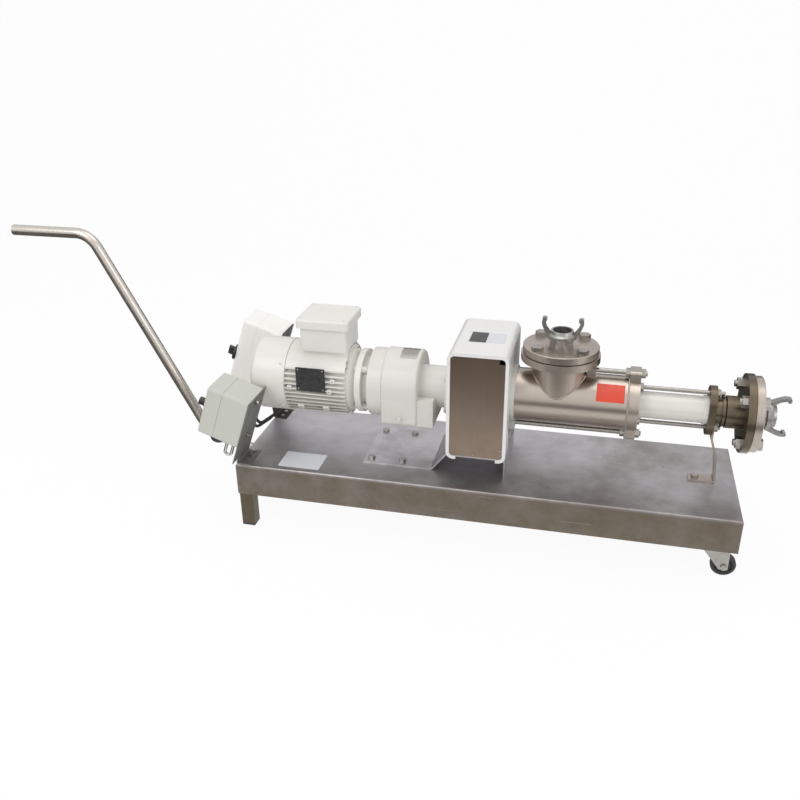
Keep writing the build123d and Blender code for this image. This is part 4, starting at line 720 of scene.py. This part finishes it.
def grow(name, mesh, tree_name, values, body, split_angle=PIECE_EDGE):
    """Run a tree over a seed mesh and keep the result as one plain mesh that rides on a body."""
    tree = bpy.data.node_groups.get(tree_name) or TREE_MAKERS[tree_name]()
    seed = bpy.data.objects.new(name + "_seed", mesh)
    bpy.context.scene.collection.objects.link(seed)
    modifier = seed.modifiers.new("Tree", "NODES")
    modifier.node_group = tree
    for item in tree.interface.items_tree:
        if item.in_out == "INPUT" and item.name in values:
            modifier[item.identifier] = values[item.name]
    bpy.context.view_layer.update()
    depsgraph = bpy.context.evaluated_depsgraph_get()
    plain = bpy.data.meshes.new_from_object(seed.evaluated_get(depsgraph), depsgraph=depsgraph)
    if not plain.polygons:
        raise ValueError(f"{name} came out empty")
    bpy.data.objects.remove(seed)
    plain.name = name
    return finish_piece(name, plain, body, split_angle)


def finish_piece(name, mesh, body, split_angle):
    """Shade a finished mesh, link it and let it ride."""
    mesh.shade_smooth()
    mesh.set_sharp_from_angle(angle=radians(split_angle))
    piece = bpy.data.objects.new(name, mesh)
    bpy.context.scene.collection.objects.link(piece)
    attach(piece, body)
    return piece


def points_mesh(name, points):
    """A mesh of loose points, each with a direction."""
    mesh = bpy.data.meshes.new(name)
    mesh.from_pydata([place for place, _ in points], [], [])
    layer = mesh.attributes.new("direction", "FLOAT_VECTOR", "POINT")
    layer.data.foreach_set("vector", [value for _, direction in points for value in direction])
    return mesh


def line_mesh(name, lines):
    """A mesh of polylines, each a list of points and whether it closes."""
    corners, edges = [], []
    for points, closed in lines:
        first = len(corners)
        corners += [tuple(point) for point in points]
        edges += [(first + i, first + i + 1) for i in range(len(points) - 1)]
        if closed:
            edges.append((first + len(points) - 1, first))
    mesh = bpy.data.meshes.new(name)
    mesh.from_pydata(corners, edges, [])
    return mesh


def mesh_of(shape, name):
    """Turn a bmesh into a mesh with merged doubles and outward normals."""
    bmesh.ops.remove_doubles(shape, verts=shape.verts, dist=1e-6)
    bmesh.ops.recalc_face_normals(shape, faces=shape.faces)
    mesh = bpy.data.meshes.new(name)
    shape.to_mesh(mesh)
    shape.free()
    return mesh


def turned_shape(shape, profile, sides):
    """Turn a profile of (radius, height) pairs about Z into a closed shape."""
    circle = [(cos(2 * pi * i / sides), sin(2 * pi * i / sides)) for i in range(sides)]
    rings = []
    for radius, height in profile:
        if radius < 1e-7:
            rings.append([shape.verts.new((0, 0, height))])
        else:
            rings.append([shape.verts.new((radius * x, radius * y, height)) for x, y in circle])
    for lower, upper in zip(rings, rings[1:]):
        for i in range(sides):
            j = (i + 1) % sides
            unique = []
            for ring, k in ((lower, i), (lower, j), (upper, j), (upper, i)):
                corner = ring[k % len(ring)]
                if corner not in unique:
                    unique.append(corner)
            if len(unique) > 2:
                shape.faces.new(unique)


def socket_screw(radius):
    """A pan head with a hexagon socket, of the given head radius."""
    shape = bmesh.new()
    key = radius * 0.5
    profile = [
        (0.0, -0.0005), (radius, -0.0005), (radius, radius * 0.35), (radius * 0.86, radius * 0.62),
        (key * 1.1, radius * 0.7), (key, radius * 0.66),
    ]
    turned_shape(shape, profile, 24)
    rim = [v for v in shape.verts if abs(v.co.z - radius * 0.66) < 1e-7]
    floor = [shape.verts.new((v.co.x * 0.96, v.co.y * 0.96, radius * 0.2)) for v in rim]
    for i in range(len(rim)):
        j = (i + 1) % len(rim)
        shape.faces.new([rim[i], rim[j], floor[j], floor[i]])
    shape.faces.new(floor)
    return mesh_of(shape, "socket_screw")


def dome_rivet(radius):
    """A low domed rivet head."""
    shape = bmesh.new()
    profile = [(0.0, -0.0003), (radius, -0.0003)]
    profile += [(radius * cos(pi / 2 * i / 6), radius * 0.55 * sin(pi / 2 * i / 6)) for i in range(7)]
    turned_shape(shape, profile, 20)
    return mesh_of(shape, "dome_rivet")


def hexagon_plug(radius):
    """A hexagon plug with a collar."""
    shape = bmesh.new()
    wide, foot, shoulder = radius * 1.25, radius * 0.25, radius * 0.3
    collar = [(0, -0.001), (wide, -0.001), (wide, foot), (radius, shoulder), (0, shoulder)]
    turned_shape(shape, collar, 28)
    base, edge, top = radius * 0.28, radius * 0.95, radius * 1.05
    turned_shape(shape, [(0, base), (radius, base), (radius, edge), (radius * 0.9, top), (0, top)], 6)
    return mesh_of(shape, "hexagon_plug")


def slab(shape, place, size, corner, thickness):
    """A rounded plate: size along the place's X and Y, thick along its Z."""
    half_x, half_y = size[0] / 2, size[1] / 2
    outline = []
    for quarter, (sx, sy) in enumerate(((1, 1), (-1, 1), (-1, -1), (1, -1))):
        for i in range(CORNER_STEPS + 1):
            angle = pi / 2 * (quarter + i / CORNER_STEPS)
            x = sx * (half_x - corner) + corner * cos(angle)
            y = sy * (half_y - corner) + corner * sin(angle)
            outline.append((x, y))
    bevel = min(thickness * 0.35, corner * 0.5)
    rings = []
    for height, inset in ((0.0, 0.0), (thickness - bevel, 0.0), (thickness, bevel)):
        scale_x, scale_y = 1 - inset / half_x, 1 - inset / half_y
        spots = [Vector((x * scale_x, y * scale_y, height)) for x, y in outline]
        rings.append([shape.verts.new(place @ spot) for spot in spots])
    for lower, upper in zip(rings, rings[1:]):
        for i in range(len(outline)):
            j = (i + 1) % len(outline)
            shape.faces.new([lower[i], lower[j], upper[j], upper[i]])
    shape.faces.new(list(reversed(rings[0])))
    shape.faces.new(rings[-1])


def facing(origin, normal, across):
    """A frame at origin whose Z is normal and whose X is as near as can be to across."""
    z_axis = Vector(normal).normalized()
    x_axis = (Vector(across) - z_axis * Vector(across).dot(z_axis)).normalized()
    y_axis = z_axis.cross(x_axis)
    place = Matrix((x_axis, y_axis, z_axis)).transposed().to_4x4()
    place.translation = Vector(origin)
    return place


def curved_patch(shape, span, axis_height, radius, thickness, angles):
    """A closed strip of a cylinder along X, between two angles over the near horizontal, in degrees."""
    first, last = angles
    rows = []
    for depth in (0.0, thickness):
        for i in range(PATCH_STEPS + 1):
            turn = radians(first + (last - first) * i / PATCH_STEPS)
            y, z = -(radius + depth) * cos(turn), axis_height + (radius + depth) * sin(turn)
            rows.append([shape.verts.new((x, y, z)) for x in span])
    upper = PATCH_STEPS + 1
    for i in range(PATCH_STEPS):
        a, b, c, d = rows[i], rows[i + 1], rows[upper + i], rows[upper + i + 1]
        shape.faces.new([a[0], a[1], b[1], b[0]])
        shape.faces.new([c[0], d[0], d[1], c[1]])
        shape.faces.new([a[0], b[0], d[0], c[0]])
        shape.faces.new([a[1], c[1], d[1], b[1]])
    for i in (0, PATCH_STEPS):
        a, c = rows[i], rows[upper + i]
        shape.faces.new([a[0], a[1], c[1], c[0]])


def middle(node):
    """Middle of a node's box, as (x, y, z)."""
    return tuple((low + high) / 2 for low, high in zip(*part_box(node)))


def loose_boxes(node):
    """Low and high corner of every loose solid of a node."""
    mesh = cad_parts[node].data
    parent = list(range(len(mesh.vertices)))

    def root(i):
        while parent[i] != i:
            parent[i] = parent[parent[i]]
            i = parent[i]
        return i

    keys = {}
    for i, vertex in enumerate(mesh.vertices):
        key = tuple(round(value, 6) for value in vertex.co)
        if key in keys:
            parent[root(i)] = root(keys[key])
        keys[key] = i
    for edge in mesh.edges:
        parent[root(edge.vertices[0])] = root(edge.vertices[1])
    groups = {}
    for i, vertex in enumerate(mesh.vertices):
        groups.setdefault(root(i), []).append(vertex.co)
    return [(Vector(map(min, *points)), Vector(map(max, *points))) for points in groups.values()]


# Operators


def settings():
    """The add-on's sizes and colours."""
    return bpy.context.scene.pump_sizes, bpy.context.scene.pump_colours


def finish_of(key):
    """A material made by the finishes operator."""
    return bpy.data.materials[bpy.context.scene["pump_finish_" + key]]


class PUMP_OT_finishes(bpy.types.Operator):
    """Make the materials and give every CAD piece its own"""

    bl_idname = "pump.finishes"
    bl_label = "Finishes"

    def execute(self, context):
        _, tints = settings()
        for key, material in make_finishes(tints).items():
            context.scene["pump_finish_" + key] = material.name
        for key, nodes in NODE_FINISHES.items():
            for node in nodes:
                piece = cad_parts[node]
                piece.data.materials.clear()
                piece.data.materials.append(finish_of(key))
        bare = [name for name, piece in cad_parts.items() if not piece.data.materials]
        if bare:
            raise ValueError(f"pieces without a material: {bare}")
        return {"FINISHED"}


def ring_line(centre, normal, radius):
    """Points of a circle."""
    place = facing(centre, normal, (0.3, 1, 0.2))
    angles = [2 * pi * i / RING_STEPS for i in range(RING_STEPS)]
    return [place @ Vector((radius * cos(angle), radius * sin(angle), 0)) for angle in angles]


def pump_weld_lines():
    """Seams of the neck with the casing, the neck with its flange and the casing with its flange."""
    casing_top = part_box("pump_casing")[1].z
    mid_low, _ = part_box("mid_flange")
    neck, axis = middle("suction_flange")[0], middle("discharge_port")[2]
    saddle = []
    for i in range(RING_STEPS):
        angle = 2 * pi * i / RING_STEPS
        x, y = (NECK_RADIUS + SADDLE_LIFT) * cos(angle), NECK_RADIUS * sin(angle)
        saddle.append((neck + x, y, axis + sqrt(CASING_RADIUS**2 - y**2) + SADDLE_LIFT))
    flange_seam = (neck, 0, casing_top - NECK_FLANGE_DEPTH)
    mid_seam = (mid_low.x - MID_FLANGE_GAP, 0, axis)
    return [
        (saddle, True),
        (ring_line(flange_seam, UP, NECK_RADIUS + NECK_LIFT), True),
        (ring_line(mid_seam, ALONG, CASING_RADIUS + CASING_LIFT), True),
    ]


def tray_weld_lines():
    """Upright seams of the tray's corners and seams round the tops of the capped legs."""
    low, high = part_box("deck_tray")
    lines = []
    for x in (low.x + CORNER_INSET, high.x - CORNER_INSET):
        for y in (low.y + CORNER_INSET, high.y - CORNER_INSET):
            lines.append(([(x, y, low.z + CORNER_RISE), (x, y, high.z - CORNER_DROP)], False))
    cap_low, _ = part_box("leg_caps")
    x0, x1 = cap_low.x + LEG_INSET, cap_low.x + LEG_SIDE - LEG_INSET
    reach, z = abs(cap_low.y), high.z - LEG_DROP
    for sign in (1, -1):
        y0, y1 = sign * (reach - LEG_INSET), sign * (reach - LEG_SIDE + LEG_INSET)
        lines.append(([(x0, y0, z), (x1, y0, z), (x1, y1, z), (x0, y1, z)], True))
    return lines


def lay_bead(name, lines, radius, pitch, seed):
    """Lay a weld bead along lines."""
    values = {"Radius": radius, "Pitch": pitch, "Seed": seed, "Material": finish_of("weld")}
    grow(name, line_mesh(name, lines), "Weld Bead", values, ROOT_BODY, BEAD_EDGE)


class PUMP_OT_welds(bpy.types.Operator):
    """Lay the weld beads of the pump and the tray"""

    bl_idname = "pump.welds"
    bl_label = "Weld beads"

    def execute(self, context):
        sizes, _ = settings()
        lay_bead("pump_welds", pump_weld_lines(), sizes.bead_radius, sizes.bead_pitch, 5)
        lay_bead(
            "tray_welds", tray_weld_lines(), sizes.tray_bead_radius, sizes.tray_bead_pitch, 8,
        )
        return {"FINISHED"}


class PUMP_OT_threads(bpy.types.Operator):
    """Cut the threads that stand out past the rod nuts"""

    bl_idname = "pump.threads"
    bl_label = "Rod threads"

    def execute(self, context):
        sizes, _ = settings()
        groups = {}
        for low, high in loose_boxes("tie_rods"):
            radius = LONG_ROD_RADIUS if high.x - low.x > LONG_ROD else SHORT_ROD_RADIUS
            y, z = (low.y + high.y) / 2, (low.z + high.z) / 2
            for x in (low.x + THREAD_INSET, high.x - THREAD_INSET - THREAD_LENGTH):
                groups.setdefault(radius, []).append(((x, y, z), ALONG))
        for radius, points in groups.items():
            millimetres = round(radius * 2000)
            values = {
                "Radius": radius - THREAD_SINK, "Length": THREAD_LENGTH, "Pitch": sizes.thread_pitch,
                "Depth": sizes.thread_depth, "Material": finish_of("zinc"),
            }
            grow(
                f"rod_threads_{millimetres}", points_mesh("rod_threads", points), "Thread", values,
                ROOT_BODY,
            )
        return {"FINISHED"}


def put_pieces(name, points, head_mesh, finish, seed):
    """Place a copy of a small head at each point and keep them as one piece."""
    head_mesh.materials.append(finish_of(finish))
    head = bpy.data.objects.new(head_mesh.name, head_mesh)
    bpy.context.scene.collection.objects.link(head)
    values = {"Piece": head, "Size": 1.0, "Seed": seed, "Material": finish_of(finish)}
    grow(name, points_mesh(name, points), "Pieces On Points", values, ROOT_BODY)
    bpy.data.objects.remove(head)


def guard_screws():
    """Two screws on each side plate of the guard."""
    hood_low, hood_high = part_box("guard_hood")
    plate_low, plate_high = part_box("guard_side_plates")
    screws = []
    for side, y in ((-1, plate_low.y), (1, plate_high.y)):
        screws.append(((hood_low.x + 0.066, y, hood_low.z + 0.016), (0, side, 0)))
        screws.append(((hood_high.x - 0.014, y, hood_low.z + 0.034), (0, side, 0)))
    return screws


def motor_screws():
    """Four screws on the lid of the terminal box and four round the fan cowl."""
    low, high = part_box("terminal_box_lid")
    screws = []
    for x in (low.x + COVER_INSET, high.x - COVER_INSET):
        for y in (low.y + COVER_INSET, high.y - COVER_INSET):
            screws.append(((x, y, high.z), UP))
    low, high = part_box("fan_cowl")
    axis, radius = (low.z + high.z) / 2, (high.z - low.z) / 2
    for angle in COWL_SCREW_ANGLES:
        y, z = -cos(radians(angle)), sin(radians(angle))
        screws.append(((high.x - COVER_INSET, radius * y, axis + radius * z), (0, y, z)))
    return screws


def bracket_bolts():
    """Two bolts on the leaning face of the near bracket."""
    lean = radians(BRACKET_LEAN)
    rise, outward = Vector((sin(lean), 0, cos(lean))), Vector((cos(lean), 0, -sin(lean)))
    x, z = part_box("near_bracket")[0].x + BRACKET_FOOT_INSET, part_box("deck_tray")[1].z + BRACKET_FOOT_RISE
    foot = Vector((x, BRACKET_BOLT_Y, z)) + outward * BRACKET_FACE
    return [(tuple(foot + rise * distance), tuple(outward)) for distance in BRACKET_BOLT_RISES]


def oil_plugs():
    """A plug low on each side of the gear housing."""
    low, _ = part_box("gear_housing")
    x, z = low.x + OIL_PLUG_X, middle("fan_cowl")[2] - OIL_PLUG_DROP
    return [((x, low.y, z), NEAR), ((x, -low.y, z), (0, 1, 0))]


class PUMP_OT_screws(bpy.types.Operator):
    """Put in the small screws, bolts and plugs"""

    bl_idname = "pump.screws"
    bl_label = "Screws and plugs"

    def execute(self, context):
        sizes, _ = settings()
        screw, bolt, plug = sizes.screw_radius, sizes.bolt_radius, sizes.plug_radius
        put_pieces("cover_screws", guard_screws(), socket_screw(screw), "zinc", 3)
        put_pieces(
            "painted_screws", motor_screws(), socket_screw(screw), "motor_enamel", 7
        )
        put_pieces("box_bolts", bracket_bolts(), hexagon_plug(bolt), "zinc", 2)
        put_pieces("oil_plugs", oil_plugs(), hexagon_plug(plug), "enamel", 11)
        return {"FINISHED"}


def keep_shape(name, shape, finish):
    """Keep a shape as a piece of one finish."""
    mesh = mesh_of(shape, name)
    mesh.materials.append(finish_of(finish))
    finish_piece(name, mesh, ROOT_BODY, PLATE_EDGE)


def blank_plate(name, place, size, finish):
    """Fix a blank rounded plate."""
    sizes, _ = settings()
    shape = bmesh.new()
    slab(shape, place, size, PLATE_CORNER, sizes.plate_thickness)
    keep_shape(name, shape, finish)


def blank_patch(name, span, axis_height, radius, thickness, angles, finish):
    """Fix a blank plate that is curved about an axis along X."""
    shape = bmesh.new()
    curved_patch(shape, span, axis_height, radius, thickness, angles)
    keep_shape(name, shape, finish)


def corner_rivets(place, size, height):
    """A rivet near each corner of a plate."""
    reach_x, reach_y = size[0] / 2 - RIVET_INSET, size[1] / 2 - RIVET_INSET
    normal = tuple(place.to_3x3() @ Vector(UP))
    spots = [Vector((sx * reach_x, sy * reach_y, height)) for sx in (-1, 1) for sy in (-1, 1)]
    return [(tuple(place @ spot), normal) for spot in spots]


def frame_bosses(axis, height):
    """Fix the square bosses on both sides of the motor frame; returns a rivet for each."""
    low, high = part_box("motor_frame")
    seat = (high.z - low.z) / 2 - BOSS_SINK
    shape = bmesh.new()
    rivets = []
    for offset, angle, side in BOSSES:
        for sign in (-1, 1):
            out = Vector((0, sign * cos(radians(angle)), sin(radians(angle))))
            place = facing(Vector((low.x + offset, 0, axis)) + out * seat, out, ALONG)
            slab(shape, place, (side, side), PLATE_CORNER, height)
            rivets.append((tuple(place @ Vector((0, 0, height))), tuple(out)))
    keep_shape("frame_bosses", shape, "motor_enamel")
    return rivets


class PUMP_OT_plates(bpy.types.Operator):
    """Fix the blank plates, the tag, the motor frame's bosses and saddle, and the rivets"""

    bl_idname = "pump.plates"
    bl_label = "Blank plates"

    def execute(self, context):
        sizes, _ = settings()
        tray_low, tray_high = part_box("deck_tray")
        frame_low, frame_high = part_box("motor_frame")
        hood_low, hood_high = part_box("guard_hood")
        gear_low, gear_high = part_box("gear_housing")
        casing_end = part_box("pump_casing")[1].x
        axis = middle("discharge_port")[2]

        deck = facing((tray_low.x + 0.1605, -0.120, tray_high.z), UP, ALONG)
        blank_plate("deck_plate", deck, (0.107, 0.076), "plate")
        motor = facing((tray_low.x + 0.1825, frame_low.y, axis + 0.0275), NEAR, ALONG)
        motor_size = (0.075, 0.063)
        blank_plate("motor_plate", motor, motor_size, "name_plate")
        rivets = corner_rivets(motor, motor_size, sizes.plate_thickness)
        blank_patch(
            "casing_tag", (casing_end - 0.073, casing_end - 0.009), axis, CASING_RADIUS + 0.0001, 0.0003,
            (22, 62), "tag",
        )
        for name, offset, finish, slot in (
            ("guard_dark_plate", 0.058, "name_plate", "black_plastic"),
            ("guard_pale_plate", 0.101, "plate", "white_enamel"),
        ):
            place = facing((hood_low.x + offset, -0.008, hood_high.z), UP, ALONG)
            blank_plate(name, place, (0.040, 0.064), finish)
        rivets += frame_bosses(axis, sizes.boss_height)
        blank_patch(
            "gear_plate", (gear_low.x + 0.036, gear_low.x + 0.078), gear_high.z - GEAR_TOP_RADIUS,
            GEAR_TOP_RADIUS + 0.0001, 0.0005, (66, 100), "zinc",
        )
        blank_patch(
            "frame_saddle", (frame_low.x + 0.001, frame_high.x - 0.001), axis, frame_high.z - axis + 0.0002,
            0.0016, (33, 147), "motor_enamel",
        )
        put_pieces("plate_rivets", rivets, dome_rivet(sizes.rivet_radius), "zinc", 4)
        return {"FINISHED"}


def seen_rays(net):
    """1 for rays from the camera and those that mirror or pass through, else 0."""
    path = net.add("ShaderNodeLightPath")
    seen = net.math("MAXIMUM", path.outputs["Is Camera Ray"], path.outputs["Is Glossy Ray"])
    return net.math("MAXIMUM", seen, path.outputs["Is Transmission Ray"])


def stage_floor(scene, tint):
    """A white floor that bends up into a backdrop."""
    shape = bmesh.new()
    profile = [(FLOOR_FRONT, 0.0), (FLOOR_BACK, 0.0)]
    for i in range(1, FLOOR_STEPS + 1):
        angle = pi / 2 * i / FLOOR_STEPS
        profile.append((FLOOR_BACK + FLOOR_BEND * sin(angle), FLOOR_BEND - FLOOR_BEND * cos(angle)))
    profile.append((FLOOR_BACK + FLOOR_BEND, FLOOR_TOP))
    rows = [[shape.verts.new((x, y, z)) for x in (-FLOOR_SIDE, FLOOR_SIDE)] for y, z in profile]
    for a, b in zip(rows, rows[1:]):
        shape.faces.new([a[0], a[1], b[1], b[0]])
    mesh = mesh_of(shape, "floor")
    mesh.shade_smooth()
    floor = bpy.data.objects.new("floor", mesh)
    scene.collection.objects.link(floor)
    material, net, _, _, principled = new_material("Floor")
    principled.inputs["Base Color"].default_value = (*tint, 1.0)
    principled.inputs["Roughness"].default_value = 0.9
    principled.inputs["Specular IOR Level"].default_value = 0.1
    white = net.add("ShaderNodeEmission", {"Color": WHITE, "Strength": 1.0})
    share = net.math("MULTIPLY", seen_rays(net), FLOOR_GLOW)
    both = net.add("ShaderNodeMixShader", {0: share, 1: principled.outputs[0], 2: white.outputs[0]})
    net.feed(net.tree.nodes["Material Output"].inputs["Surface"], both.outputs[0])
    mesh.materials.append(material)


def stage_world(scene):
    """A world that looks white and lights the object with grey."""
    world = bpy.data.worlds.new("Studio")
    world.use_nodes = True
    net = Net(world.node_tree)
    background = world.node_tree.nodes["Background"]
    net.feed(background.inputs["Color"], net.mix(seen_rays(net), WORLD_GREY, WHITE))
    background.inputs["Strength"].default_value = 1.0
    scene.world = world


def stage_lamps(scene):
    """Area lamps that aim at the object."""
    for name, place, size, power in LAMPS:
        light = bpy.data.lights.new(name, "AREA")
        light.size = size
        light.energy = power
        lamp = bpy.data.objects.new(name, light)
        lamp.location = place
        lamp.rotation_mode = "QUATERNION"
        lamp.rotation_quaternion = (Vector(LAMP_TARGET) - Vector(place)).to_track_quat("-Z", "Y")
        scene.collection.objects.link(lamp)


def stage_cards(scene):
    """Cards that only reflections show."""
    for name, place, size, turn, level, tone in CARDS:
        dark = bpy.data.materials.new(name)
        dark.use_nodes = True
        net = Net(dark.node_tree)
        net.tree.nodes.remove(net.tree.nodes["Principled BSDF"])
        glow = net.add("ShaderNodeEmission", {"Color": shade(level, tone)})
        net.feed(net.tree.nodes["Material Output"].inputs["Surface"], glow.outputs[0])
        mesh = bpy.data.meshes.new(name)
        x, y = size[0] / 2, size[1] / 2
        mesh.from_pydata([(-x, -y, 0), (x, -y, 0), (x, y, 0), (-x, y, 0)], [], [(0, 1, 2, 3)])
        mesh.materials.append(dark)
        card = bpy.data.objects.new(name, mesh)
        card.location = place
        card.rotation_euler = [radians(value) for value in turn]
        card.visible_camera = False
        card.visible_shadow = False
        card.visible_diffuse = False
        scene.collection.objects.link(card)


def stage_camera(scene):
    """The camera, turned by yaw, pitch and roll."""
    yaw, pitch, roll = radians(CAMERA_YAW), radians(CAMERA_PITCH), radians(CAMERA_ROLL)
    forward = Vector((-sin(yaw) * cos(pitch), cos(yaw) * cos(pitch), -sin(pitch)))
    level = forward.cross(Vector(UP)).normalized()
    upright = level.cross(forward)
    right = level * cos(roll) + upright * sin(roll)
    up = upright * cos(roll) - level * sin(roll)
    lens = bpy.data.cameras.new("camera")
    lens.sensor_width = SENSOR_WIDTH
    lens.lens = FOCAL_LENGTH
    lens.clip_start = CLIP_NEAR
    lens.clip_end = CLIP_FAR
    camera = bpy.data.objects.new("camera", lens)
    turn = Matrix((right, up, -forward)).transposed().to_4x4()
    turn.translation = Vector(CAMERA_PLACE)
    camera.matrix_world = turn
    scene.collection.objects.link(camera)
    scene.camera = camera


class PUMP_OT_stage(bpy.types.Operator):
    """Set the floor, light, world, camera and view"""

    bl_idname = "pump.stage"
    bl_label = "Stage"

    def execute(self, context):
        _, tints = settings()
        scene = context.scene
        stage_floor(scene, tints.floor)
        stage_world(scene)
        stage_lamps(scene)
        stage_cards(scene)
        stage_camera(scene)
        scene.view_settings.view_transform = "Standard"
        return {"FINISHED"}


class PUMP_PT_panel(bpy.types.Panel):
    """Buttons of the add-on, in the order they run"""

    bl_idname = "PUMP_PT_panel"
    bl_label = "Pump trolley"
    bl_space_type = "VIEW_3D"
    bl_region_type = "UI"
    bl_category = "Pump trolley"

    def draw(self, context):
        layout = self.layout
        for step in STEPS:
            layout.operator(step.bl_idname)
        for group in (context.scene.pump_sizes, context.scene.pump_colours):
            for key in group.bl_rna.properties.keys():
                if key not in ("rna_type", "name"):
                    layout.prop(group, key)


STEPS = (PUMP_OT_finishes, PUMP_OT_welds, PUMP_OT_threads, PUMP_OT_screws, PUMP_OT_plates, PUMP_OT_stage)
CLASSES = (PumpColours, PumpSizes, *STEPS, PUMP_PT_panel)


def register():
    """Register the add-on."""
    for cls in CLASSES:
        bpy.utils.register_class(cls)
    bpy.types.Scene.pump_colours = PointerProperty(type=PumpColours)
    bpy.types.Scene.pump_sizes = PointerProperty(type=PumpSizes)


def unregister():
    """Unregister the add-on."""
    del bpy.types.Scene.pump_colours
    del bpy.types.Scene.pump_sizes
    for cls in reversed(CLASSES):
        bpy.utils.unregister_class(cls)


def main():
    """Run every step in order."""
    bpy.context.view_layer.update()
    register()
    for step in STEPS:
        area, label = step.bl_idname.split(".")
        if getattr(getattr(bpy.ops, area), label)() != {"FINISHED"}:
            raise RuntimeError(f"{step.bl_label} didn't finish")


if __name__ == "__main__":
    main()
